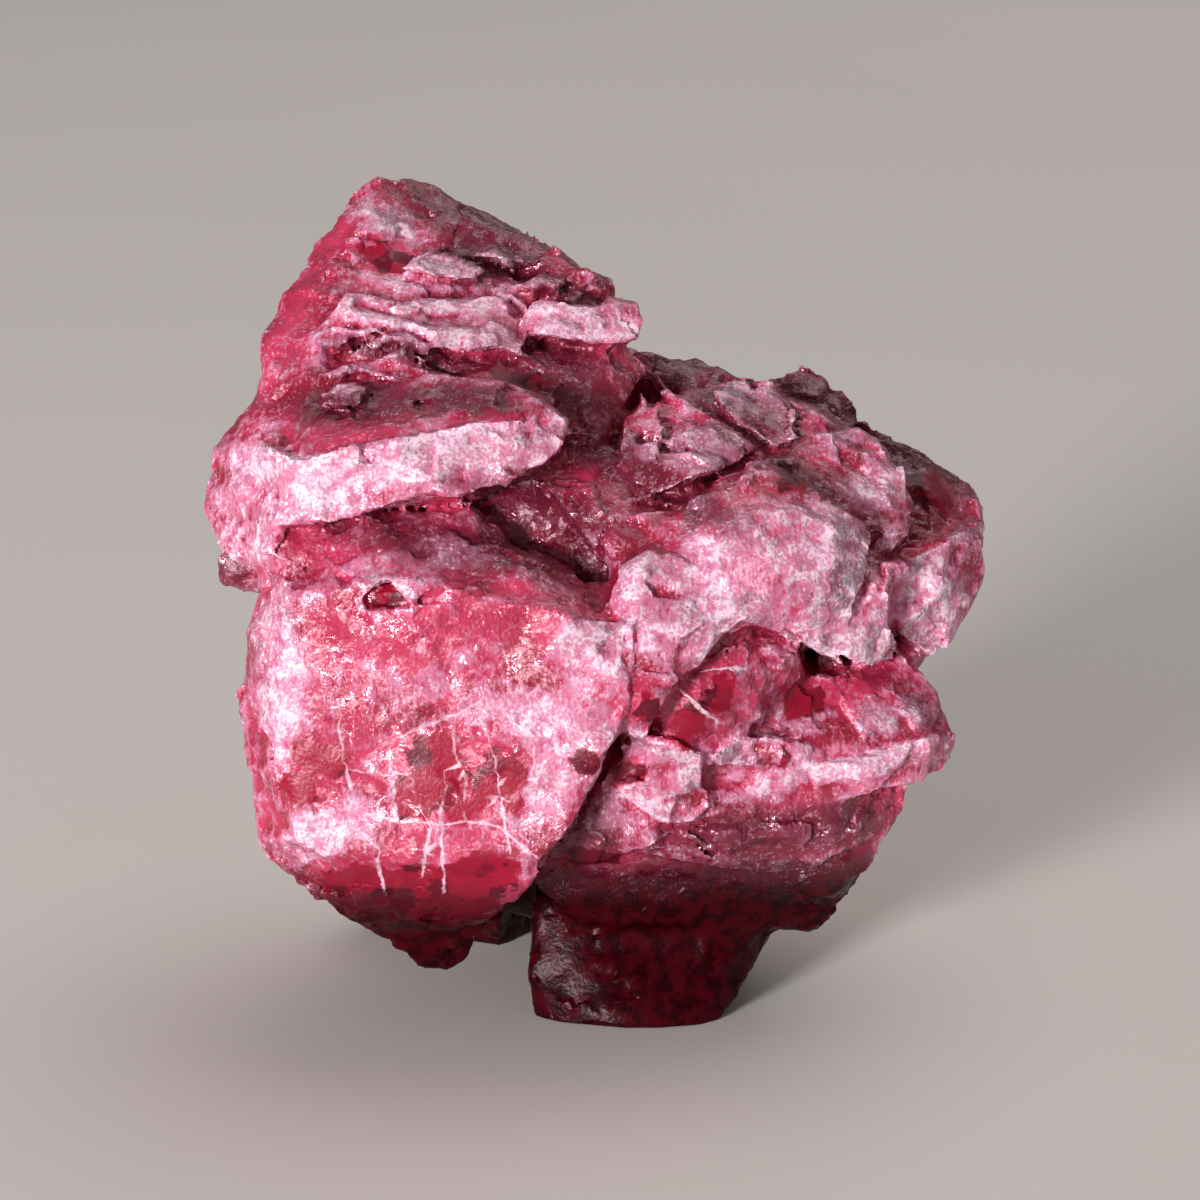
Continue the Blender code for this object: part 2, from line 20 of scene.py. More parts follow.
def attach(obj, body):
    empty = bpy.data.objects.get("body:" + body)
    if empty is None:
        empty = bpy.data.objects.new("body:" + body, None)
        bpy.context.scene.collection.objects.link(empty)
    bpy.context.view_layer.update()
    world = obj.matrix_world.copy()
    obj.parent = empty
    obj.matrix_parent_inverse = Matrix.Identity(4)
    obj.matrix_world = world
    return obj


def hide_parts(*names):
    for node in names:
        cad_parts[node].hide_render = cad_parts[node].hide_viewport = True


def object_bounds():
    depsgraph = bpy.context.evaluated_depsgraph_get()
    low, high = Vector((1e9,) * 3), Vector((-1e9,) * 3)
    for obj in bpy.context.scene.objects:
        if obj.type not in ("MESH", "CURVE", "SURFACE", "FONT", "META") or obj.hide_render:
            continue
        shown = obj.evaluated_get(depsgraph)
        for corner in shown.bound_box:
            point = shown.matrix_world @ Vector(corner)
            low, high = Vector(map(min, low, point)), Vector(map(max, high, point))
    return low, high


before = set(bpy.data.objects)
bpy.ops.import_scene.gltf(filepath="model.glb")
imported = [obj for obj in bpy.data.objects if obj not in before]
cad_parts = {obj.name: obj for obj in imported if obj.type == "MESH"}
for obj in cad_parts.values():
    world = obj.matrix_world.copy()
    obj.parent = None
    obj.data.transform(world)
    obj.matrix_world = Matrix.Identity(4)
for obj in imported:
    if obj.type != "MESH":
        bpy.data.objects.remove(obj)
CAD_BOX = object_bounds()

bl_info = {
    "name": "Rough Spinel Crystal",
    "version": (1, 0, 0),
    "blender": (4, 5, 0),
    "location": "3D View > Sidebar > Spinel",
    "description": "Grows a rough spinel crystal group and sets its stage",
    "category": "Object",
}

CAD_NODE = "spinel"
BODY = "root"

MM = 0.001

# The sheet that the crystal is drawn on: across and up in millimetres, seen by an eye that looks a little
# down on it.
EYE_DISTANCE = 66.7
LOOK_DOWN = math.radians(15.0)
RIGHT = np.array((1.0, 0.0, 0.0))
UP = np.array((0.0, math.sin(LOOK_DOWN), math.cos(LOOK_DOWN)))
AWAY = np.array((0.0, math.cos(LOOK_DOWN), -math.sin(LOOK_DOWN)))
SHEET_MIDDLE = np.array((0.0524, -3.2539, 8.9))
EYE = SHEET_MIDDLE - AWAY * EYE_DISTANCE

# How the grain of the group is turned in the sheet, as the crystals in it are.
GRAIN_TURN = math.radians(16.0)

# Where the surface has a character of its own. Each spot is (across, up, half width, half height, turn in
# degrees).
CROWN = [(-3.4, 6.3, 3.6, 2.6, -20), (-3.6, 4.3, 3.2, 1.0, -8)]
RIGHT_STEPS = [(2.8, 3.3, 2.6, 1.3, -35), (6.0, 2.6, 1.8, 1.8, -45)]
BELLY = [(3.2, -3.6, 3.8, 2.2, 4)]
CALM = [(-3.3, -2.2, 3.3, 3.6, 0), (0.4, -7.0, 3.2, 1.5, 0), (3.2, 0.7, 1.9, 1.3, 0)]

# Where crystal fills what would be an open gap between blocks. Each is (across, up, away, then the half
# sizes the same three ways, and the turn in degrees).
FILLS = {
    "plate_roof": (-3.7, 0.75, -0.3, 2.3, 1.2, 1.35, -7),
    "plate_roof_right": (-1.5, 0.15, -0.5, 1.5, 0.75, 1.45, -30),
    "plate_groove": (0.25, -1.6, -0.9, 0.5, 1.5, 0.7, 12),
}

# Clear places, where the broken face is glassy and the deep red shows.
WINDOWS = {
    "orange_wedge": (-5.6, -3.15, 0.6, 0.32, -12),
    "orange_sliver": (-6.05, -3.8, 0.55, 0.22, -20),
    "cell_1": (-3.3, -3.05, 0.6, 0.4, 0),
    "cell_2": (-3.1, -3.5, 0.4, 0.5, 0),
    "cell_3": (-3.65, -3.9, 0.45, 0.5, 5),
    "cell_4": (-1.9, -3.3, 0.45, 0.35, 0),
    "cell_5": (-2.35, -3.75, 0.35, 0.55, 0),
    "cell_6": (-1.75, -4.0, 0.2, 0.35, 0),
    "cell_7": (-2.8, -4.25, 0.25, 0.25, 0),
    "edge_cell": (-0.3, -3.15, 0.25, 0.26, 0),
    "low_window": (-3.8, -5.85, 1.9, 0.6, -3),
    "low_window_right": (-2.4, -5.5, 0.9, 0.5, 10),
    "low_window_dark": (-3.3, -6.45, 1.2, 0.25, 4),
    "low_dark": (-4.9, -6.1, 0.5, 0.2, -20),
    "cavity": (-4.3, 0.05, 0.4, 0.25, 5),
    "shade_pane": (-2.1, 0.6, 0.4, 0.22, 5),
    "facet_high": (2.4, -1.85, 0.42, 0.36, 15),
    "facet_low": (1.7, -2.55, 0.42, 0.45, 0),
    "slab_tip": (0.95, -2.15, 0.35, 0.25, 40),
    "belly_smooth": (4.1, -2.0, 0.5, 0.4, 0),
    "belly_cell": (3.7, -3.1, 0.26, 0.2, 20),
    "belly_low": (-0.1, -5.2, 0.7, 0.3, 5),
    "belly_red": (0.6, -3.4, 0.45, 0.25, 0),
    "crown_red": (-4.35, 6.85, 0.55, 0.3, -10),
    "recess": (-1.7, 4.4, 0.7, 0.3, -20),
    "far_face": (6.7, 2.2, 0.5, 0.7, -30),
    "slab_shade": (3.9, 2.3, 0.45, 0.22, -30),
}

# Smooth places with little frost, where the body's red is also painted brighter, standing in for light
# shining through it.
SMOOTH_AND_PAINTED_GLOWS = {
    "plate_top": (-3.3, -0.4, 2.5, 0.6, 3),
    "plate_top_right": (-1.3, -0.15, 0.9, 0.4, -12),
    "plate_pane": (-4.83, -2.5, 0.36, 0.65, 8),
    "plate_heart": (-2.8, -3.6, 1.4, 1.2, 0),
    "plate_left_cells": (-5.6, -3.4, 0.8, 0.7, 0),
    "plate_low": (-3.4, -5.8, 2.1, 1.0, 0),
    "shelf_root": (-4.9, 3.2, 1.3, 0.35, -4),
    "shelf_lip": (-1.7, 3.85, 0.8, 0.25, 12),
    "flank": (-6.1, 5.6, 0.45, 1.8, -20),
    "flank_top": (-5.4, 7.2, 0.5, 0.6, -30),
    "cheek_streak": (-5.6, 1.1, 0.8, 0.35, -5),
    "belly_wedge": (1.9, -1.9, 1.1, 0.9, 20),
    "belly_right": (5.2, -1.9, 0.9, 0.4, -10),
    "slab_tip": (0.8, -2.0, 0.5, 0.6, 30),
    "slab_top": (2.9, 1.9, 0.9, 0.3, -30),
    "mid_left": (-0.2, 2.4, 0.8, 0.6, -30),
    "knob": (1.0, 3.6, 0.5, 0.4, 0),
}

# Painted shade: places turned from the light, shadowed or sunk in recesses, where the crystal is painted
# dark maroon.
PAINTED_SHADES = {
    "crown_top": (-2.5, 7.6, 2.0, 0.8, -27),
    "crown_middle": (-2.1, 6.75, 1.3, 0.7, -10),
    "crown_right": (-0.4, 6.0, 0.9, 0.35, -20),
    "crown_band": (-3.6, 4.85, 1.7, 0.25, -10),
    "pocket": (-0.9, 4.6, 1.2, 0.75, -15),
    "knob_shade": (-4.6, 3.95, 1.6, 0.5, 4),
    "knob_shade_right": (-2.7, 4.05, 1.2, 0.45, -12),
    "plate_shade": (-2.9, 1.0, 2.2, 0.5, -10),
    "gap": (-1.2, 1.9, 2.0, 0.55, -22),
    "gap_low": (-0.1, 0.5, 0.35, 1.3, 20),
    "neck": (0.6, 2.7, 1.2, 0.7, -30),
    "mid_shade": (2.0, 1.9, 1.0, 0.35, -35),
    "middle_face": (2.2, 3.0, 0.9, 0.5, -20),
    "hump_left": (1.8, 4.6, 1.2, 0.5, -25),
    "hump_middle": (2.9, 3.9, 1.4, 0.6, -35),
    "hump_right": (4.5, 4.1, 1.3, 0.6, -25),
    "far_top": (6.4, 2.9, 1.2, 0.9, -35),
    "step_shade": (4.0, 2.5, 1.0, 0.3, -40),
    "pocket_right": (4.7, -1.25, 0.7, 0.3, -5),
    "belly_under": (2.2, -5.7, 3.6, 0.85, 4),
    "belly_haze": (3.6, -4.75, 2.5, 0.65, 8),
    "belly_far_left": (-0.4, -4.9, 1.0, 1.0, 0),
    "tip": (-3.4, -7.0, 1.4, 0.55, 0),
    "left_knob": (-7.4, 0.5, 0.5, 0.7, 0),
    "foot": (0.8, -7.6, 3.4, 1.6, 0),
}

# Places where the frost lies thick and white. Some, such as far_low and slab_low, are also painted light:
# they are made paler where the crystal gets less light.
FROSTED = {
    "slab_face": (4.3, 1.0, 1.7, 0.85, -15),
    "slab_middle": (2.6, 0.6, 1.2, 0.7, 10),
    "slab_shoulder": (0.8, 0.55, 0.55, 0.5, 0),
    "slab_knuckle": (0.75, -0.65, 0.5, 0.55, 0),
    "shelf_band": (-3.4, 2.9, 2.6, 0.5, 6),
    "shelf_root": (-5.6, 2.4, 0.8, 0.7, 0),
    "lobe": (-7.0, 2.0, 0.9, 1.4, 15),
    "patch": (-1.5, -2.3, 0.95, 0.6, -10),
    "plate_corner": (-0.1, -1.1, 0.8, 0.7, -40),
    "plate_left": (-6.5, -1.4, 0.6, 1.6, 5),
    "plate_low_left": (-5.7, -4.8, 1.2, 0.5, 30),
    "plate_right": (-1.1, -3.6, 0.5, 1.2, -30),
    "belly_mottle": (2.3, -3.3, 0.8, 0.4, 0),
    "belly_band": (4.9, -3.3, 1.7, 0.4, 14),
    "belly_left": (0.4, -4.2, 0.8, 0.4, 10),
    "crown_face": (-2.9, 6.2, 1.7, 0.7, -12),
    "crown_point": (-4.1, 7.6, 0.9, 0.4, -30),
    "hump_faces": (2.7, 4.2, 1.1, 0.45, -30),
    "middle_face": (1.9, 3.0, 0.9, 0.6, -10),
    "plate_shade": (-2.9, 0.9, 1.0, 0.35, -10),
    "crown_band": (-3.4, 5.5, 2.0, 0.35, -9),
    "crown_lip": (-0.4, 5.5, 1.1, 0.35, -12),
    "crown_step": (-3.0, 6.65, 0.8, 0.25, -22),
    "crown_step_right": (-1.9, 6.85, 0.5, 0.2, -20),
    "small_knob": (-5.1, 4.15, 0.45, 0.2, 10),
    "mid_face": (1.2, 3.0, 0.5, 0.35, 20),
    "belly_right_top": (5.8, -2.3, 1.0, 0.45, -8),
    "ridge_face": (5.4, 2.2, 0.5, 0.7, -40),
    # Painted light: far_low and slab_low are also made paler because they get less light.
    "far_low": (6.5, -0.2, 1.1, 1.0, 0),
    "slab_low": (5.0, -0.5, 1.4, 0.8, 5),
    "belly_crest": (3.6, -2.5, 1.2, 0.3, 8),
    "slab_left": (2.0, -0.4, 0.9, 0.8, 30),
}

# Edges where the crystal steps up, along (across, up) points. It is raised on the right of the way each
# line runs.
STEPS = {
    "crown_gems": [
        (-3.85, 6.62), (-3.7, 6.85), (-3.3, 6.98), (-2.85, 6.82), (-2.4, 6.62), (-2.45, 6.4),
        (-2.9, 6.42), (-3.85, 6.62),
    ],
    "crown_chip": [
        (-2.4, 6.9), (-2.1, 7.02), (-1.85, 6.9), (-1.55, 6.72), (-1.75, 6.62), (-2.1, 6.75),
        (-2.4, 6.9),
    ],
    "crown_right": [(-1.5, 6.35), (-1.2, 6.55), (-0.8, 6.4), (-0.3, 6.55), (0.1, 6.45)],
    "ledge_1": [
        (-5.35, 5.8), (-5.1, 6.12), (-4.6, 6.1), (-4.0, 5.95), (-3.4, 6.05), (-2.8, 6.0), (-2.2, 6.05),
    ],
    "ledge_2": [(-4.6, 5.75), (-4.1, 5.65), (-3.5, 5.5), (-2.9, 5.45)],
    "ledge_3": [(-5.3, 5.5), (-4.9, 5.4), (-4.5, 5.45), (-4.2, 5.3)],
    "ledge_4": [(-4.8, 5.05), (-4.4, 5.3), (-3.9, 5.35), (-3.6, 5.2)],
    "ledge_5": [(-5.3, 4.6), (-4.9, 4.8), (-4.5, 4.85), (-4.2, 5.0)],
    "ledge_under": [(-1.65, 4.8), (-2.0, 4.95), (-2.6, 5.0), (-3.2, 5.05)],
    "lip_top": [(-1.5, 5.65), (-1.35, 5.85), (-1.0, 5.95), (-0.5, 5.9), (0.0, 5.9), (0.45, 6.05)],
    "lip_under": [(0.6, 5.2), (0.0, 5.22), (-0.6, 5.22), (-1.1, 5.25), (-1.35, 5.1), (-1.6, 4.9)],
    "knob": [
        (-5.55, 4.05), (-5.35, 4.25), (-4.9, 4.35), (-4.68, 4.2), (-4.75, 3.98), (-5.1, 3.88),
        (-5.45, 3.88), (-5.55, 4.05),
    ],
    "crown_root": [(-3.9, 4.9), (-3.3, 4.6), (-2.7, 4.5), (-2.2, 4.45), (-1.8, 4.3), (-1.4, 4.15)],
    "shelf_edge": [
        (-6.6, 3.15), (-5.9, 2.9), (-5.2, 3.0), (-4.4, 3.2), (-3.6, 3.3), (-3.0, 3.45), (-2.4, 3.6),
        (-1.9, 3.65),
    ],
    "shelf_end": [
        (-1.4, 4.1), (-1.0, 3.85), (-0.6, 3.55), (-0.7, 3.2), (-0.95, 2.95), (-1.0, 2.75), (-1.25, 2.7),
    ],
    "band_under": [
        (-1.5, 2.6), (-1.9, 2.3), (-2.4, 2.05), (-3.0, 1.97), (-3.7, 1.97), (-4.2, 1.85), (-4.6, 1.65),
        (-6.0, 1.6),
    ],
    "plate_crest": [
        (-4.7, 1.45), (-4.1, 1.72), (-3.4, 1.7), (-2.7, 1.52), (-2.2, 1.3), (-1.8, 1.08), (-1.3, 1.0),
        (-0.85, 0.8), (-0.5, 0.6), (-0.45, 0.25), (-0.2, -0.1), (0.1, -0.45), (0.32, -0.8),
    ],
    "roof_pane": [(-3.45, 0.75), (-3.2, 0.82), (-2.6, 0.92), (-1.85, 0.88)],
    "cavity": [
        (-4.7, 0.05), (-4.45, -0.12), (-4.1, -0.1), (-3.75, -0.08), (-4.0, 0.2), (-4.2, 0.4),
        (-4.5, 0.25), (-4.7, 0.05),
    ],
    "gap_face": [(0.2, 0.2), (0.15, 0.6), (-0.1, 0.9), (-0.3, 1.3), (-0.6, 1.7), (-0.95, 2.1)],
    "knuckle": [(0.3, 0.5), (0.5, 0.8), (0.9, 0.95), (1.2, 0.85)],
    "block": [(0.45, 3.2), (0.55, 3.7), (0.9, 3.97), (1.2, 3.9), (1.35, 3.5), (1.25, 3.1)],
    "middle_crest": [(1.2, 3.2), (1.7, 3.45), (2.2, 3.6), (2.6, 3.5), (3.0, 3.1)],
    "middle_under": [(3.0, 3.0), (2.7, 2.75), (2.2, 2.5), (1.7, 2.3), (1.3, 2.1)],
    "middle_back": [(1.3, 4.25), (1.7, 4.1), (2.1, 3.8), (2.5, 3.55)],
    "slab_top": [
        (2.1, 2.1), (2.6, 2.3), (3.0, 2.8), (3.3, 2.85), (3.8, 2.5), (4.3, 2.2), (4.7, 1.95),
        (5.1, 1.6), (5.35, 1.1), (5.4, 0.6), (5.25, 0.1),
    ],
    "hump_1": [
        (2.3, 4.05), (2.6, 4.4), (3.1, 4.42), (3.6, 4.15), (3.95, 3.65), (3.9, 3.2), (3.5, 3.05),
        (2.7, 3.5), (2.3, 4.05),
    ],
    "hump_2": [(3.7, 4.05), (4.2, 3.95), (4.65, 3.65)],
    "hump_3": [
        (4.5, 3.4), (5.1, 3.5), (5.6, 3.15), (6.05, 2.65), (6.2, 2.1), (6.15, 1.4), (5.85, 0.95),
        (5.5, 1.0),
    ],
    "far_low_top": [(5.9, 0.72), (6.3, 0.85), (6.6, 1.05), (6.9, 1.2), (7.15, 1.5), (7.45, 1.5)],
    "slab_end": [(5.9, -0.1), (5.85, -0.6), (5.75, -1.2)],
    "slab_under": [
        (5.7, -1.25), (5.4, -1.35), (5.0, -1.25), (4.8, -1.1), (4.6, -1.2), (4.15, -1.05), (4.1, -0.8),
    ],
    "recess_rim": [
        (4.0, -0.9), (3.5, -0.62), (2.95, -0.5), (2.6, -0.7), (2.3, -1.0), (2.05, -1.35), (1.6, -1.65),
        (1.3, -2.1), (1.05, -2.6),
    ],
    "plate_edge": [(0.35, -2.65), (0.1, -3.1), (-0.1, -3.6), (-0.4, -4.2), (-0.7, -4.75), (-1.0, -5.2)],
    "belly_step": [(1.05, -2.75), (1.5, -2.85), (2.0, -3.1), (2.0, -3.45)],
    "belly_block": [(2.3, -3.0), (2.6, -2.7), (3.2, -2.6), (3.8, -2.75)],
    "belly_ledge": [(4.9, -3.15), (5.4, -3.0), (6.0, -2.85), (6.6, -2.75)],
    "belly_right_under": [(6.7, -3.6), (6.2, -3.75), (5.6, -3.8), (5.2, -3.9)],
    "belly_shelf": [(2.2, -4.35), (1.7, -4.5), (1.2, -4.45), (0.7, -4.1)],
    "under_edge": [
        (5.0, -5.0), (4.6, -5.15), (4.2, -5.45), (3.4, -5.45), (2.6, -5.4), (1.6, -5.2), (1.1, -5.1),
    ],
}

# Healed cracks that show as white threads, each along (across, up) points. The two groups cross each other.
UPRIGHT_VEINS = {
    "hub_left_up": [
        (-4.95, -1.9), (-4.55, -2.35), (-4.25, -2.9), (-4.2, -3.35), (-4.15, -3.85), (-4.05, -4.4),
    ],
    "pane_edge": [(-5.2, -1.7), (-5.22, -2.7), (-5.0, -3.6), (-4.9, -4.0)],
    "thread_1": [(-3.8, -3.55), (-3.68, -4.05), (-3.4, -4.5), (-3.5, -5.2), (-3.55, -5.5)],
    "thread_2": [(-3.15, -3.35), (-3.08, -3.85), (-3.2, -4.3), (-3.14, -5.25), (-3.1, -5.8)],
    "thread_3": [(-2.92, -2.6), (-2.85, -3.1), (-2.66, -3.55), (-2.72, -4.0), (-2.62, -4.5)],
    "thread_5": [(-2.4, -2.35), (-2.27, -2.7), (-2.1, -3.35), (-2.0, -3.85), (-1.9, -4.5), (-1.82, -5.1)],
    "low_left_down": [(-4.45, -4.9), (-4.4, -5.45), (-4.32, -5.85)],
    "patch_down": [(-1.4, -2.6), (-1.3, -3.2), (-1.45, -3.9)],
    "belly_crack": [(1.55, -1.75), (2.0, -2.15), (2.4, -2.5)],
}
LEVEL_VEINS = {
    "hub_left_right": [(-4.5, -2.95), (-3.9, -2.7), (-3.5, -2.45), (-2.9, -2.3), (-2.4, -2.0)],
    "hub_low": [
        (-4.8, -4.3), (-4.25, -4.36), (-3.68, -4.42), (-3.2, -4.5), (-2.65, -4.42), (-2.1, -4.5),
        (-1.3, -5.1),
    ],
    "pane_top": [(-4.9, -3.4), (-4.3, -3.5), (-3.8, -3.45)],
    "patch_right": [(-1.1, -2.2), (-0.5, -2.6), (0.1, -2.7)],
    "belly_rim": [(1.85, -1.42), (2.3, -1.38), (2.95, -1.4)],
    "belly_low": [(1.1, -2.85), (1.6, -3.1), (2.1, -3.3)],
    "low_left": [(-5.9, -4.9), (-5.2, -4.6), (-4.5, -4.75)],
}


# --------------------------------------------------------------------------------------------------
# Repeatable noise, for points in millimetres

# Odd numbers that spread a cell's whole numbers and its salt over 32 bits, and the last rounds of mixing.
CELL_MIXERS = (0x9E3779B1, 0x85EBCA77, 0xC2B2AE3D)
SALT_MIXER = 0x27D4EB2F
MIXING_ROUNDS = ((15, 0x2C1B3C6D), (12, 0x297A2D39))
LAST_SHIFT = 15
LARGEST = 0xFFFFFFFF

# Added to a pattern's salt, so that each thing drawn for its cells is drawn on its own.
PLACE_SALT = 11
HEAD_SALT = 47
SLOPE_SALT = 60
STEP_SALT = 71

# Farther off than anything in a cell pattern or a grid.
FAR_OFF = 9.0

# How high the lowest crystal head stands, and how much higher the highest, in head widths.
HEAD_LOW = 0.05
HEAD_SPREAD = 0.4


def cell_random(cells, salt):
    """A repeatable number from 0 to 1 for each cell of whole numbers."""
    mixed = np.full(cells.shape[:-1], salt * SALT_MIXER & LARGEST, dtype=np.uint32)
    for axis, mixer in enumerate(CELL_MIXERS):
        mixed ^= cells[..., axis].astype(np.uint32) * np.uint32(mixer)
    for shift, mixer in MIXING_ROUNDS:
        mixed ^= mixed >> np.uint32(shift)
        mixed *= np.uint32(mixer)
    mixed ^= mixed >> np.uint32(LAST_SHIFT)
    return mixed / LARGEST


def ease(value, low, high):
    """0 below low, 1 above high, and a smooth rise between them."""
    share = np.clip((value - low) / (high - low), 0.0, 1.0)
    return share * share * (3.0 - 2.0 * share)


def soft_noise(points, size, salt):
    """Smooth noise from -1 to 1, with bumps of about the given size."""
    scaled = points / size
    base = np.floor(scaled)
    share = ease(scaled - base, 0.0, 1.0)
    base = base.astype(np.int64)
    total = np.zeros(len(points))
    for corner in np.ndindex(2, 2, 2):
        weight = np.prod(np.where(corner, share, 1.0 - share), axis=1)
        total += weight * cell_random(base + np.array(corner), salt)
    return 2.0 * total - 1.0


def layered_noise(points, size, salt, layers=3):
    """Noise from about -1 to 1 that repeats at half the size and half the height in each layer."""
    total = np.zeros(len(points))
    for layer in range(layers):
        total += soft_noise(points, size / 2**layer, salt + layer) / 2**layer
    return total / 1.5


def cell_centres(points, size, salt, looseness=0.8):
    """Each of the 27 cells around each point, and the point's offset from its loosely placed centre."""
    scaled = points / np.asarray(size, dtype=points.dtype)
    base = np.floor(scaled).astype(np.int32)
    for step in np.ndindex(3, 3, 3):
        cell = base + (np.array(step, dtype=np.int32) - 1)
        offset = scaled - cell
        for axis in range(3):
            offset[:, axis] -= 0.5 + looseness * (cell_random(cell, salt + PLACE_SALT * axis) - 0.5)
        yield cell, offset


def crystal_heads(points, axes, size, salt, fall=(1.0, 1.0)):
    """The height of close-set pyramids, about -0.5 in the furrows between them and 0.45 at their points.

    axes are the three directions of their edges and size their widths along those. fall is how steep each
    pyramid is on its upper and its lower side.
    """
    turned = points @ np.asarray(axes, dtype=points.dtype).T
    best = np.full(len(points), -FAR_OFF, dtype=points.dtype)
    for cell, offset in cell_centres(turned, size, salt):
        distance = np.abs(offset[:, 0]) + np.abs(offset[:, 2])
        distance += np.maximum(offset[:, 1] * fall[0], -offset[:, 1] * fall[1])
        np.maximum(best, HEAD_LOW + HEAD_SPREAD * cell_random(cell, salt + HEAD_SALT) - distance, out=best)
    return best


def broken_facets(points, size, salt, step=0.5, tilt=1.0):
    """Height from about -1 to 1 of close-set flat facets, each a step up or down and tilted its own way."""
    nearest = np.full(len(points), FAR_OFF, dtype=points.dtype)
    height = np.zeros(len(points), dtype=points.dtype)
    for cell, offset in cell_centres(points, size, salt):
        distance = np.einsum("ij,ij->i", offset, offset)
        closer = distance < nearest
        nearest[closer] = distance[closer]
        cell, offset = cell[closer], offset[closer]
        draws = (cell_random(cell, salt + SLOPE_SALT + axis) - 0.5 for axis in range(3))
        slopes = sum(draw * offset[:, axis] for axis, draw in enumerate(draws))
        height[closer] = step * (2.0 * cell_random(cell, salt + STEP_SALT) - 1.0) + 2.0 * tilt * slopes
    return height


def grain_centres(points, size, salt):
    """The middle of the loosely placed grain that each point lies in."""
    nearest = np.full(len(points), FAR_OFF, dtype=points.dtype)
    centres = points.copy()
    for _, offset in cell_centres(points, (size, size, size), salt):
        distance = np.einsum("ij,ij->i", offset, offset)
        closer = distance < nearest
        nearest[closer] = distance[closer]
        centres[closer] = points[closer] - offset[closer] * size
    return centres


def sheet_axes(turn):
    """Across and up in the sheet, turned by an angle in radians, and away from the eye."""
    across = math.cos(turn) * RIGHT + math.sin(turn) * UP
    upward = -math.sin(turn) * RIGHT + math.cos(turn) * UP
    return np.array((across, upward, AWAY))


# --------------------------------------------------------------------------------------------------
# The surface as a mesh

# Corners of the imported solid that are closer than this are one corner.
WELD = 0.0005


def welded_copy(node):
    """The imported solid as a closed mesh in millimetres."""
    grown = bmesh.new()
    grown.from_mesh(node.data)
    bmesh.ops.scale(grown, vec=(1.0 / MM,) * 3, verts=grown.verts)
    bmesh.ops.remove_doubles(grown, verts=grown.verts, dist=WELD)
    mesh = bpy.data.meshes.new("spinel_blank")
    grown.to_mesh(mesh)
    grown.free()
    return mesh


def with_modifier(mesh, kind, settings):
    """A new mesh, made from this one by one modifier."""
    carrier = bpy.data.objects.new("carrier", mesh)
    bpy.context.scene.collection.objects.link(carrier)
    modifier = carrier.modifiers.new("work", kind)
    for name, value in settings.items():
        setattr(modifier, name, value)
    bpy.context.view_layer.update()
    evaluated = carrier.evaluated_get(bpy.context.evaluated_depsgraph_get())
    result = bpy.data.meshes.new_from_object(evaluated)
    bpy.data.objects.remove(carrier)
    bpy.data.meshes.remove(mesh)
    return result


def points_of(mesh):
    """The places of the mesh's vertices."""
    flat = np.empty(len(mesh.vertices) * 3)
    mesh.vertices.foreach_get("co", flat)
    return flat.reshape(-1, 3)


def normals_of(mesh):
    """The outward direction at each vertex."""
    flat = np.empty(len(mesh.vertices) * 3)
    mesh.vertex_normals.foreach_get("vector", flat)
    return flat.reshape(-1, 3)


def edges_of(mesh):
    """The two vertices of each edge."""
    flat = np.empty(len(mesh.edges) * 2, dtype=np.int32)
    mesh.edges.foreach_get("vertices", flat)
    return flat.reshape(-1, 2)


def move_points(mesh, points):
    """Puts the mesh's vertices at new places."""
    mesh.vertices.foreach_set("co", points.ravel())
    mesh.update()


def evened(values, edges, rounds):
    """Each vertex's values averaged with its neighbours', that many times over."""
    count = len(values)
    first, second = edges[:, 0], edges[:, 1]
    degree = np.bincount(edges.ravel(), minlength=count)
    for _ in range(rounds):
        total = np.empty_like(values)
        for axis in range(values.shape[1]):
            column = values[:, axis]
            total[:, axis] = np.bincount(first, column[second], count)
            total[:, axis] += np.bincount(second, column[first], count)
        values = 0.5 * (values + total / degree[:, None])
    return values


def unit(vectors):
    """The vectors at length 1."""
    return vectors / np.maximum(np.linalg.norm(vectors, axis=-1, keepdims=True), 1e-9)


# --------------------------------------------------------------------------------------------------
# Places on the surface

# How far behind the sheet the crystal is looked for, where a line of sight misses it.
BEHIND_SHEET = 3.0

# A spot reaches this much deeper into the crystal than its larger half size.
SPOT_DEPTH = 1.3

# How far from a drawn line its sides are told apart, and the stops along each stretch of it.
LINE_REACH = 1.0
LINE_STOPS = 3

# How far a step is felt on its raised and on its low side, where it fades out, and how wide its edge is.
RAISED_REACH = 0.8
LOWERED_REACH = 0.3
STEP_FADE = (0.5, 0.95)
STEP_EDGE = 0.03


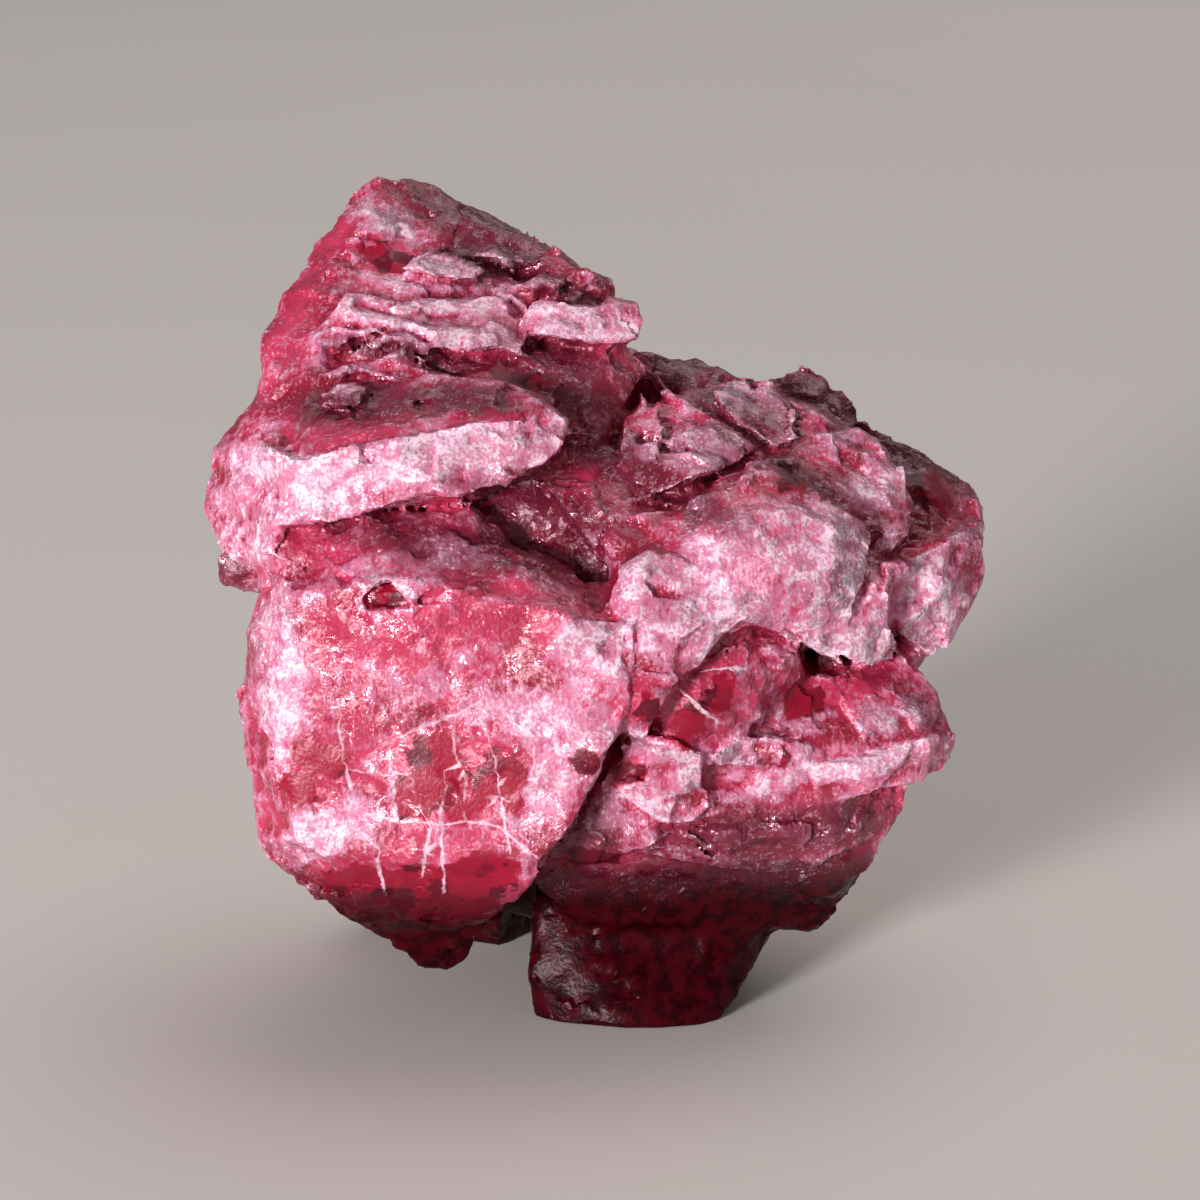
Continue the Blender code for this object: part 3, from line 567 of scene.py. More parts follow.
class Drawing:
    """Finds where points of the sheet lie on the crystal, along the eye's line of sight."""

    def __init__(self, mesh):
        grown = bmesh.new()
        grown.from_mesh(mesh)
        self.tree = BVHTree.FromBMesh(grown)
        grown.free()

    def on_surface(self, across, upward):
        """The place on the front of the crystal that lies behind this point of the sheet."""
        offset = across * RIGHT + upward * UP
        sight = unit(offset + EYE_DISTANCE * AWAY)
        hit = self.tree.ray_cast(EYE.tolist(), sight.tolist())[0]
        if hit is None:
            hit = self.tree.find_nearest((SHEET_MIDDLE + offset + BEHIND_SHEET * AWAY).tolist())[0]
        return np.array(hit)

    def spot(self, points, place, soft):
        """How much each point belongs to a spot: 1 inside and 0 outside, with a border this soft."""
        across, upward, width, height, turn = place
        offset = points - self.on_surface(across, upward)
        local = offset @ sheet_axes(math.radians(turn)).T
        local /= (width, height, SPOT_DEPTH * max(width, height))
        return 1.0 - ease(np.linalg.norm(local, axis=1), 1.0 - soft, 1.0 + soft)

    def spots(self, points, places, soft):
        """The strongest hold that any of the spots has on each point."""
        held = np.zeros(len(points))
        for place in places:
            held = np.maximum(held, self.spot(points, place, soft))
        return held

    def line_side(self, points, lines):
        """How far each point is from the nearest line, up to the reach, and below 0 on its right side."""
        side = np.full(len(points), LINE_REACH)
        for line in lines:
            for start, end in zip(line, line[1:]):
                laid = [self.on_surface(*stop) for stop in np.linspace(start, end, LINE_STOPS)]
                for low, high in zip(laid, laid[1:]):
                    lowest = np.minimum(low, high) - LINE_REACH
                    highest = np.maximum(low, high) + LINE_REACH
                    near = np.flatnonzero(np.all((points > lowest) & (points < highest), axis=1))
                    run = high - low
                    offset = points[near] - low
                    share = np.clip(offset @ run / max(run @ run, 1e-9), 0.0, 1.0)
                    distance = np.linalg.norm(offset - share[:, None] * run, axis=1)
                    signed = np.where(offset @ np.cross(run, AWAY) < 0.0, -distance, distance)
                    closer = distance < np.abs(side[near])
                    side[near[closer]] = signed[closer]
        return side

    def step_sides(self, points):
        """How near each point is to the raised side of a step, and how near to the low side, from 0 to 1."""
        side = self.line_side(points, STEPS.values())
        fade = 1.0 - ease(np.abs(side), *STEP_FADE)
        raised = np.exp(side / RAISED_REACH) * ease(-side, -STEP_EDGE, STEP_EDGE)
        lowered = np.exp(-side / LOWERED_REACH) * ease(side, -STEP_EDGE, STEP_EDGE)
        return np.minimum(raised, 1.0) * fade, np.minimum(lowered, 1.0) * fade


# --------------------------------------------------------------------------------------------------
# The solid as a grid of depths, and its skin

# How far from the surface its depth is looked for, and how far a ray starts past the face that it crossed.
SEARCH_REACH = 0.7
RAY_START = 0.0005

# Gaps narrower than about this are healed, over so many rounds of evening out.
HEAL_REACH = 0.3
HEAL_ROUNDS = 6
HEAL_DEPTH = 2.4

# How soft the edge is where a fill meets the crystal.
JOIN_WIDTH = 0.25

# The depth given to a grid point that has to count as inside.
JUST_INSIDE = -0.002
PINCH_ROUNDS = 4


def packed_depth(tree, low, step, counts):
    """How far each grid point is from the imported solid's surface: above 0 outside, and below 0 inside."""
    depth = np.full(counts, FAR_OFF, dtype=np.float32)
    for place in np.ndindex(*counts):
        found = tree.find_nearest((low + np.array(place) * step).tolist(), SEARCH_REACH)
        if found[3] is not None:
            depth[place] = found[3]
    votes = sum(inside_along(tree, low, step, counts, axis).astype(np.int8) for axis in range(3))
    return np.where(votes >= 2, -depth, depth)


def inside_along(tree, low, step, counts, axis):
    """Which grid points lie inside, as rays along one axis find it."""
    inside = np.zeros(counts, dtype=bool)
    others = [other for other in range(3) if other != axis]
    direction = np.eye(3)[axis].tolist()
    for row in np.ndindex(*(counts[other] for other in others)):
        start = low.copy()
        start[others] += np.array(row) * step
        line = np.moveaxis(inside, axis, -1)[row]
        origin = start.copy()
        while True:
            place, normal = tree.ray_cast(origin.tolist(), direction)[:2]
            if place is None:
                break
            first = int(np.ceil((place[axis] - low[axis]) / step))
            line[max(first, 0):] = normal[axis] < 0.0
            origin[axis] = place[axis] + RAY_START
    return inside


def refined(values, times):
    """A grid's values on a finer grid, with so many steps for each of its own."""
    for axis in range(3):
        place = np.arange((values.shape[axis] - 1) * times + 1) / times
        base = np.minimum(place.astype(int), values.shape[axis] - 2)
        along_axis = [-1 if other == axis else 1 for other in range(3)]
        share = (place - base).astype(np.float32).reshape(along_axis)
        values = np.take(values, base, axis) * (1.0 - share) + np.take(values, base + 1, axis) * share
    return values


def heal_gaps(depth):
    """Fills narrow gaps and the sharpest furrows, and leaves the rest as it is."""
    share = np.clip(0.5 - depth / (2.0 * HEAL_REACH), 0.0, 1.0)
    for _ in range(HEAL_ROUNDS):
        for axis in range(3):
            line = np.moveaxis(share, axis, 0)
            line[1:-1] = 0.25 * (line[:-2] + 2.0 * line[1:-1] + line[2:])
    return np.minimum(depth, (0.5 - share) * HEAL_DEPTH * HEAL_REACH)


def fill_gaps(depth, low, step):
    """Joins the fills to the crystal, with a soft edge."""
    cells = np.stack(np.meshgrid(*(np.arange(count) for count in depth.shape), indexing="ij"), axis=-1)
    away = low + cells * step - SHEET_MIDDLE
    places = away @ np.stack([RIGHT, UP, AWAY]).T
    scale = EYE_DISTANCE / (EYE_DISTANCE + places[..., 2])
    for across, up, deep, wide, high, thick, turn in FILLS.values():
        cos, sin = math.cos(math.radians(turn)), math.sin(math.radians(turn))
        x = places[..., 0] * scale - across
        y = places[..., 1] * scale - up
        parts = ((x * cos + y * sin) / wide, (y * cos - x * sin) / high, (places[..., 2] - deep) / thick)
        fill = (np.sqrt(sum(part**2 for part in parts)) - 1.0) * min(wide, high, thick)
        near = np.clip(0.5 + 0.5 * (fill - depth) / JOIN_WIDTH, 0.0, 1.0)
        depth = fill * (1.0 - near) + depth * near - JOIN_WIDTH * near * (1.0 - near)
    return depth


def close_pinches(depth):
    """Fills the outside corners between lumps that would meet only in an edge."""
    for _ in range(PINCH_ROUNDS):
        for first, second in ((0, 1), (0, 2), (1, 2)):
            grid = np.moveaxis(depth, (first, second), (0, 1))
            near, right, left, far = grid[:-1, :-1], grid[1:, :-1], grid[:-1, 1:], grid[1:, 1:]
            right[(near < 0) & (far < 0) & (right >= 0) & (left >= 0)] = JUST_INSIDE
            near[(right < 0) & (left < 0) & (near >= 0) & (far >= 0)] = JUST_INSIDE


def skin(depth, low, step):
    """The closed surface at depth 0: a point in each grid cell that it crosses, and a face for each edge."""
    cells = np.array(depth.shape) - 1
    crossings = [edge_crossings(depth, axis) for axis in range(3)]
    codes = []
    for axis, (starts, _, _) in enumerate(crossings):
        codes.append([cell_codes(starts, axis, turn, cells) for turn in ((1, 1), (0, 1), (0, 0), (1, 0))])
    used, found = np.unique(np.concatenate([code for ring in codes for code in ring]), return_inverse=True)
    total = np.zeros((len(used), 3))
    places = []
    for axis, (starts, shares, _) in enumerate(crossings):
        place = starts.astype(float)
        place[:, axis] += shares
        places += [place] * 4
    places = np.concatenate(places)
    for axis in range(3):
        total[:, axis] = np.bincount(found, places[:, axis])
    points = low + total / np.bincount(found)[:, None] * step
    faces = []
    done = 0
    for starts, _, upward in crossings:
        ring = found[done:done + 4 * len(starts)].reshape(4, -1).T
        done += 4 * len(starts)
        faces.append(np.where(upward[:, None], ring, ring[:, ::-1]))
    return points, np.concatenate(faces)


def edge_crossings(depth, axis):
    """The grid edges along one axis that the surface crosses: each one's start, crossing and facing."""
    grid = np.moveaxis(depth, axis, 0)
    before, after = grid[:-1], grid[1:]
    starts = np.argwhere((before < 0) != (after < 0))
    index = tuple(starts.T)
    first, second = before[index], after[index]
    shares = first / (first - second)
    order = [0, 0, 0]
    for slot, other in enumerate([axis] + [other for other in range(3) if other != axis]):
        order[other] = slot
    rises = second > first
    return starts[:, order], shares, rises if axis != 1 else ~rises


def cell_codes(starts, axis, turn, cells):
    """One number for each of the cells round an edge that lies on the given side of it."""
    cell = starts.copy()
    others = [other for other in range(3) if other != axis]
    cell[:, others] -= turn
    return np.ravel_multi_index(cell.T, cells)


def mesh_of(points, faces):
    """A mesh of four-sided faces, of which only the largest connected piece stays."""
    labels = np.arange(len(points))
    pairs = np.concatenate([faces[:, (0, 1)], faces[:, (1, 2)], faces[:, (2, 3)]])
    while True:
        least = np.minimum(labels[pairs[:, 0]], labels[pairs[:, 1]])
        lower = labels.copy()
        np.minimum.at(lower, pairs[:, 0], least)
        np.minimum.at(lower, pairs[:, 1], least)
        lower = lower[lower]
        if np.array_equal(lower, labels):
            break
        labels = lower
    kept = labels == np.bincount(labels).argmax()
    numbers = np.cumsum(kept) - 1
    faces = numbers[faces[kept[faces[:, 0]]]]
    mesh = bpy.data.meshes.new("spinel_skin")
    mesh.vertices.add(int(kept.sum()))
    mesh.vertices.foreach_set("co", points[kept].ravel())
    mesh.loops.add(faces.size)
    mesh.loops.foreach_set("vertex_index", faces.astype(np.int32).ravel())
    mesh.polygons.add(len(faces))
    mesh.polygons.foreach_set("loop_start", np.arange(0, faces.size, 4, dtype=np.int32))
    mesh.update(calc_edges=True)
    return mesh


# --------------------------------------------------------------------------------------------------
# The broken surface

# A slow warp that bends what would be straight: its size, its height and its salts.
WARP_SIZE = 1.5
WARP_HEIGHT = 0.18
WARP_SALTS = (1, 2, 3)

# The widths of the chips, and their salts.
CHIP_WIDTHS = (1.0, 0.9, 0.9)
CHIP_SALT = 43
SMALL_CHIP_WIDTHS = (0.42, 0.36, 0.36)
SMALL_CHIP_SALT = 33

# How soft the borders of the larger zones are.
ZONE_SOFTNESS = 0.25
CALM_SOFTNESS = 0.2

# Close-set crystal heads: their turn in degrees, their widths, their salt, and how steep they are on their
# upper and lower sides.
HEADS = {
    "elsewhere": (16.0, (1.4, 1.4, 1.4), 21, (1.0, 1.0)),
    "crown": (-18.0, (2.1, 0.8, 1.2), 55, (0.7, 1.5)),
    "steps": (-38.0, (1.5, 0.7, 1.0), 67, (0.7, 1.5)),
    "belly": (4.0, (1.6, 0.65, 1.0), 79, (1.3, 0.8)),
}

# The relief is shifted out by a little, and held between a lowest and a highest value.
RELIEF_SHIFT = 0.07
RELIEF_RANGE = (-0.2, 0.3)

# The grains of the frost and the specks between them: their widths, turns and salts, and the size of the
# patches in which they are strong or weak.
GRAIN_WIDTHS = (0.3, 0.3, 0.3)
GRAIN_SALT = 91
SPECK_WIDTHS = (0.17, 0.17, 0.17)
SPECK_TURN = GRAIN_TURN - 0.5
SPECK_SALT = 97
PATCH_SIZE = 0.9
PATCH_SALT = 101

# How near the surface the relief is worked out, and how it fades to the flat resting face.
BAND_MIDDLE = 0.05
BAND_REACH = 0.3
REST_FADE = (0.05, 0.4)
REST_HEIGHT = 0.02
GRAIN_FADE = (0.02, 0.2)

# Grid cells before the crystal, and before and after it together.
CELLS_BEFORE = 2.3
CELLS_AROUND = 4

# How the borders of the drawn spots stray: the size, the height and the salts of the noise that moves them,
# and the size and the salt of the crumbs that they follow.
STRAY_SIZE = 0.7
STRAY_HEIGHT = 0.13
STRAY_SALTS = (121, 131, 141)
CRUMB_SIZE = 0.3
CRUMB_SALT = 151

# The height and the depth that count as a full ridge and a full hollow, and how near a vein is felt.
RIDGE_HEIGHT = 0.03
HOLLOW_DEPTH = 0.25
VEIN_FADE = (0.06, 0.15)


def relief(points, shape, drawing):
    """How far out the surface lies at each point for the ledges, the crystal heads and the chips."""
    warp = np.stack([soft_noise(points, WARP_SIZE, salt) for salt in WARP_SALTS], axis=1)
    bent = points + WARP_HEIGHT * warp.astype(np.float32)
    crown = drawing.spots(points, CROWN, ZONE_SOFTNESS)
    steps = drawing.spots(points, RIGHT_STEPS, ZONE_SOFTNESS)
    belly = drawing.spots(points, BELLY, ZONE_SOFTNESS)
    quiet = 1.0 - drawing.spots(points, CALM, CALM_SOFTNESS)
    elsewhere = quiet * (1.0 - np.maximum(crown, np.maximum(steps, 0.5 * belly)))
    height = shape.chip_relief * (0.5 + 0.5 * quiet) * broken_facets(bent, CHIP_WIDTHS, CHIP_SALT)
    chips = broken_facets(bent, SMALL_CHIP_WIDTHS, SMALL_CHIP_SALT)
    height += shape.small_relief * (0.45 + 0.55 * quiet) * chips
    for name, hold, top in (
        ("elsewhere", elsewhere, shape.lump_relief),
        ("crown", crown, shape.ledge_relief),
        ("steps", steps, shape.ledge_relief),
        ("belly", 0.7 * belly * quiet, shape.ledge_relief),
    ):
        turn, widths, salt, fall = HEADS[name]
        held = hold > 0.01
        heads = crystal_heads(bent[held], sheet_axes(math.radians(turn)), widths, salt, fall)
        height[held] += top * hold[held] * heads
    raised, lowered = drawing.step_sides(bent)
    height += shape.step_relief * (0.5 * raised - lowered)
    return np.clip(height / MM + RELIEF_SHIFT, *RELIEF_RANGE)


def grain_relief(points, shape, drawing):
    """How far out each point moves for the grains of the frost."""
    calm = drawing.spots(points, CALM, CALM_SOFTNESS)
    clear = drawing.spots(points, WINDOWS.values(), 0.3)
    grains = crystal_heads(points, sheet_axes(GRAIN_TURN), GRAIN_WIDTHS, GRAIN_SALT)
    specks = crystal_heads(points, sheet_axes(SPECK_TURN), SPECK_WIDTHS, SPECK_SALT)
    patches = 0.5 + 0.5 * layered_noise(points, PATCH_SIZE, PATCH_SALT)
    rough = (1.0 - 0.85 * clear) * (0.6 + 0.4 * (1.0 - calm)) * (0.35 + 0.9 * patches)
    return shape.grain_relief * rough * (grains + 0.55 * specks) / MM


def relieved_skin(shape, drawing, low, high):
    """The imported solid's surface with its gaps filled and the relief on it."""
    step = 2.0 * shape.grid / MM
    start = low - CELLS_BEFORE * step
    counts = tuple(np.ceil((high - start) / step).astype(int) + CELLS_AROUND)
    depth = heal_gaps(packed_depth(drawing.tree, start, step, counts))
    depth = refined(fill_gaps(depth, start, step), 2)
    step /= 2.0

    places = np.argwhere(np.abs(depth - BAND_MIDDLE) < BAND_REACH)
    index = tuple(places.T)
    points = (start + places * step).astype(np.float32)
    lifted = ease(points[:, 2], *REST_FADE)
    height = relief(points, shape, drawing) * lifted + REST_HEIGHT * (1.0 - lifted)
    outside = np.maximum(low - points, points - high).max(axis=1)
    depth[index] = np.maximum(depth[index] - height, outside + 0.001)
    close_pinches(depth)
    return mesh_of(*skin(depth, start, step))


def grow_surface(shape):
    """The crystal's finished mesh in metres, with what its finish needs to know at each point."""
    blank = welded_copy(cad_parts[CAD_NODE])
    drawing = Drawing(blank)
    corners = points_of(blank)
    low, high = corners.min(axis=0), corners.max(axis=0)
    mesh = relieved_skin(shape, drawing, low, high)

    points = points_of(mesh)
    outward = unit(evened(normals_of(mesh), edges_of(mesh), 2))
    height = grain_relief(points.astype(np.float32), shape, drawing) * ease(points[:, 2], *GRAIN_FADE)
    move_points(mesh, np.clip(points + outward * height[:, None], low, high))

    faces = sum(len(polygon.vertices) - 2 for polygon in mesh.polygons)
    ratio = min(1.0, shape.triangles / faces)
    mesh = with_modifier(mesh, "DECIMATE", {"ratio": ratio, "use_collapse_triangulate": True})
    mark_surface(mesh, drawing)
    move_points(mesh, points_of(mesh) * MM)
    mesh.shade_smooth()
    mesh.set_sharp_from_angle(angle=shape.sharp_angle)
    return mesh


def mark_surface(mesh, drawing):
    """Writes the marks that the finish reads: ridges, hollows, steps, cracks, and the drawn spots."""
    points = points_of(mesh)
    edges = edges_of(mesh)
    near = evened(points, edges, 4)
    far = evened(points, edges, 60)
    outward = unit(evened(normals_of(mesh), edges, 6))
    stray = np.stack([layered_noise(points, STRAY_SIZE, salt, 2) for salt in STRAY_SALTS], axis=1)
    stray *= STRAY_HEIGHT
    bent = points + stray
    grains = grain_centres(bent, CRUMB_SIZE, CRUMB_SALT)
    raised, lowered = drawing.step_sides(points + 0.4 * stray)
    marks = {
        "raised": raised,
        "lowered": lowered,
        "ridge": np.sum((points - near) * outward, axis=1) / RIDGE_HEIGHT,
        "hollow": -np.sum((points - far) * outward, axis=1) / HOLLOW_DEPTH,
        "clear": drawing.spots(0.25 * bent + 0.75 * grains, WINDOWS.values(), 0.12),
        # Painted light shining through, and less frost, in the smooth places.
        "smooth_and_painted_glow": drawing.spots(0.6 * bent + 0.4 * grains, SMOOTH_AND_PAINTED_GLOWS.values(), 0.4),
        # Painted shade, in the shaded places.
        "painted_shade": drawing.spots(bent, PAINTED_SHADES.values(), 0.5),
        "frosted": drawing.spots(bent, FROSTED.values(), 0.45),
    }
    for way, veins in (("upright", UPRIGHT_VEINS), ("level", LEVEL_VEINS)):
        side = drawing.line_side(points + 0.3 * stray, veins.values())
        marks[f"{way}_side"] = side
        marks[f"{way}_near"] = 1.0 - ease(np.abs(side), *VEIN_FADE)
    for name, values in marks.items():
        layer = mesh.attributes.new(name, "FLOAT", "POINT")
        layer.data.foreach_set("value", values.astype(np.float32))


# --------------------------------------------------------------------------------------------------
# Finishes


class Wire:
    """A value on its way between nodes. Arithmetic on it adds the Math node that does the sum."""

    def __init__(self, finish, socket):
        self.finish = finish
        self.socket = socket

    def sum(self, operation, *values, clamp=False):
        """This value and the others through one Math node."""
        settings = {"operation": operation, "use_clamp": clamp}
        return self.finish.node("ShaderNodeMath", settings, dict(enumerate((self, *values))))

    def __add__(self, other):
        return self.sum("ADD", other)

    __radd__ = __add__

    def __sub__(self, other):
        return self.sum("SUBTRACT", other)

    def __rsub__(self, other):
        return self.sum("MULTIPLY_ADD", -1.0, other)

    def __mul__(self, other):
        return self.sum("MULTIPLY", other)

    __rmul__ = __mul__

    def __truediv__(self, other):
        return self.sum("DIVIDE", other)

    def clamped(self):
        """This value, held between 0 and 1."""
        return self.sum("ADD", 0.0, clamp=True)

    def larger(self, other):
        """The larger of the two values."""
        return self.sum("MAXIMUM", other)

    def rise(self, low, high):
        """0 below low, 1 above high, and a smooth rise between them."""
        settings = {"interpolation_type": "SMOOTHSTEP"}
        inputs = {"Value": self, "From Min": low, "From Max": high}
        return self.finish.node("ShaderNodeMapRange", settings, inputs)


# How strongly spinel bends light.
SPINEL_IOR = 1.718

# What the mesh carries for its finish.
MARKS = (
    "raised", "lowered", "ridge", "hollow", "clear", "smooth_and_painted_glow", "painted_shade", "frosted",
    "upright_side", "upright_near", "level_side", "level_near",
)

# How much each mark on the surface adds to its frost.
FROST_MARKS = {"frosted": 0.6, "smooth_and_painted_glow": -0.35, "clear": -0.5, "raised": 0.35, "lowered": -0.45, "ridge": 0.3}

# The sizes, in millimetres, of the patterns in the finish.
CLOUD_SIZE = 1.1
MOTTLE_SIZE = 0.3
PATCHES_SIZE = 0.8
FINE_GRAIN_SIZE = 0.075
FLAKE_SIZE = 0.05
CHIP_SIZE = 0.2
BLOCK_SIZE = 0.75
WEB_SIZE = 0.8

# How many times finer the fibres are than 1 mm, along each direction.
FIBRE_FINENESS = (16.0, 4.0, 2.6)

# The size in millimetres of the floor card's uneven tone.
CARD_TONE_SIZE = 60.0

# The heights between which the painted shade at the foot fades out into the rest of the crystal.
FOOT_TOP = (2.4, 4.0)

# The depth in metres that the bumps stand for.
BUMP_HEIGHT = 0.00006

# The Mix node's sockets for colours.
MIX_SHARE, MIX_FIRST, MIX_SECOND, MIXED = 0, 6, 7, 2


class Finish:
    """One material and the nodes that make it."""

    def __init__(self, name):
        self.material = bpy.data.materials.new(name)
        self.material.use_nodes = True
        self.tree = self.material.node_tree
        self.tree.nodes.clear()

    def add(self, kind, settings, inputs):
        """Adds a node, sets it up, and fills its sockets with values or wires."""
        made = self.tree.nodes.new(kind)
        for name, value in settings.items():
            setattr(made, name, value)
        for name, value in inputs.items():
            if isinstance(value, Wire):
                self.tree.links.new(value.socket, made.inputs[name])
            else:
                made.inputs[name].default_value = value
        return made

    def node(self, kind, settings, inputs, output=0):
        """Adds a node, and gives the wire that leaves it."""
        return Wire(self, self.add(kind, settings, inputs).outputs[output])

    def place(self):
        """The place on the crystal, in millimetres."""
        return self.vector("SCALE", self.node("ShaderNodeTexCoord", {}, {}, "Object"), {"Scale": 1.0 / MM})

    def vector(self, operation, first, rest=None):
        """One Vector Math node."""
        return self.node("ShaderNodeVectorMath", {"operation": operation}, {0: first, **(rest or {})})

    def mark(self, name):
        """A value that the mesh carries."""
        return self.node("ShaderNodeAttribute", {"attribute_name": name}, {}, "Fac")

    def noise(self, place, size, detail=2.0, distortion=0.0):
        """Noise around 0.5, with bumps of about the given size in millimetres."""
        inputs = {"Vector": place, "Scale": 1.0 / size, "Detail": detail, "Distortion": distortion}
        return self.node("ShaderNodeTexNoise", {}, inputs)

    def cells(self, place, size, feature="F1", output="Color"):
        """A pattern of cells of the given size in millimetres."""
        inputs = {"Vector": place, "Scale": 1.0 / size}
        return self.node("ShaderNodeTexVoronoi", {"feature": feature}, inputs, output)

    def red_of(self, colour):
        """The red share of a colour, which for a pattern of cells is one random number for each cell."""
        return self.node("ShaderNodeSeparateColor", {}, {"Color": colour}, "Red")

    def lean(self, colours, height):
        """A direction to lean a normal in, drawn from random colours."""
        centred = self.vector("SUBTRACT", colours, {1: (0.5, 0.5, 0.5)})
        return self.vector("SCALE", centred, {"Scale": height})

    def blend(self, share, first, second):
        """A mix of two colours."""
        inputs = {MIX_SHARE: share, MIX_FIRST: first, MIX_SECOND: second}
        return self.node("ShaderNodeMix", {"data_type": "RGBA", "clamp_factor": True}, inputs, MIXED)

    def shiny(self, base, roughness, specular, normal, rest):
        """A surface of spinel, with a tinted sheen."""
        inputs = {"Base Color": base, "Roughness": roughness, "Normal": normal}
        fixed = {"IOR": SPINEL_IOR, "Specular IOR Level": specular, **rest}
        return self.node("ShaderNodeBsdfPrincipled", {}, {**inputs, **fixed})

    def output(self, parts):
        """Joins the finished shaders to the material's output."""
        self.add("ShaderNodeOutputMaterial", {}, parts)


def rgba(colour):
    """A colour with full alpha."""
    return (*colour, 1.0)


def crystal_patterns(finish, place):
    """The patterns that the crystal's colours and bumps are made from."""
    stray = finish.node("ShaderNodeTexNoise", {}, {"Vector": place, "Scale": 2.5, "Detail": 2.0}, "Color")
    strayed = finish.vector("ADD", place, {1: finish.vector("SCALE", stray, {"Scale": 0.5})})
    mottle = finish.noise(place, MOTTLE_SIZE, 3.0, 0.3)
    fibre_place = finish.vector("MULTIPLY", place, {1: FIBRE_FINENESS})
    flakes = finish.cells(place, FLAKE_SIZE)
    blocks = finish.cells(strayed, BLOCK_SIZE)
    return SimpleNamespace(
        cloud=finish.noise(place, CLOUD_SIZE),
        mottle=mottle,
        grain=finish.noise(place, FINE_GRAIN_SIZE),
        fibre=finish.noise(fibre_place, 1.0, 2.0, 0.4),
        patch=finish.noise(place, PATCHES_SIZE, 1.0),
        web=finish.cells(place, WEB_SIZE, "DISTANCE_TO_EDGE", "Distance") + 0.05 * (mottle - 0.5),
        flakes=flakes,
        flake=finish.red_of(flakes),
        blocks=blocks,
        block=finish.red_of(blocks),
        chips=finish.cells(strayed, CHIP_SIZE),
    )


def frost_share(marks, patterns, low):
    """How thick the frost is: about 0.15 where it starts, and 1 where it is white."""
    speckle = 1.6 * (patterns.mottle - 0.5) + 0.6 * (patterns.grain - 0.5) + 0.8 * (patterns.fibre - 0.5)
    frost = 0.32 + speckle * (1.0 - 0.4 * marks["painted_shade"])
    frost = frost + 0.3 * (patterns.block - 0.5) + 0.8 * (patterns.cloud - 0.5)
    frost = frost + 0.35 * marks["upright_near"].larger(marks["level_near"])
    # Painted shade: the shaded spots and the foot keep less of the pale frost.
    frost = frost - 0.3 * marks["painted_shade"] - 0.6 * low - 0.45 * marks["hollow"].clamped()
    for name, share in FROST_MARKS.items():
        frost = frost + share * marks[name]
    return frost


def white_threads(marks, patterns, shade):
    """Where the healed cracks show as white threads."""
    mottle = patterns.mottle
    wander = 0.06 * (mottle - 0.5) + 0.04 * (patterns.grain - 0.5)
    width = 0.035 + 0.25 * (mottle - 0.42).clamped()
    fine_places = (patterns.cloud + 0.6 * (mottle - 0.5)).rise(0.54, 0.64)
    # Painted shade dims the fine threads.
    threads = 0.3 * (1.0 - patterns.web.rise(0.0, 0.03)) * fine_places * (1.0 - shade)
    for way in ("upright", "level"):
        away = (marks[f"{way}_side"] + wander).sum("ABSOLUTE")
        threads = threads.larger((1.0 - (away / width).rise(0.4, 1.0)) * marks[f"{way}_near"])
    return threads


def body_colour(finish, colours, marks, patterns, shade, low):
    """The colour of the crystal under its frost, with painted light shining through the smooth places, and
    painted shade in the shaded places and at the foot.
    """
    body = finish.blend(patterns.cloud.rise(0.35, 0.65), rgba(colours.deep), rgba(colours.body))
    # Painted light shining through: the smooth places are painted the brighter body red.
    body = finish.blend(0.7 * marks["smooth_and_painted_glow"], body, rgba(colours.body))
    # Painted shade in the shaded places.
    body = finish.blend(0.9 * shade, body, rgba(colours.painted_shade))
    # Painted shade at the foot.
    return finish.blend(0.85 * low, body, rgba(colours.foot))


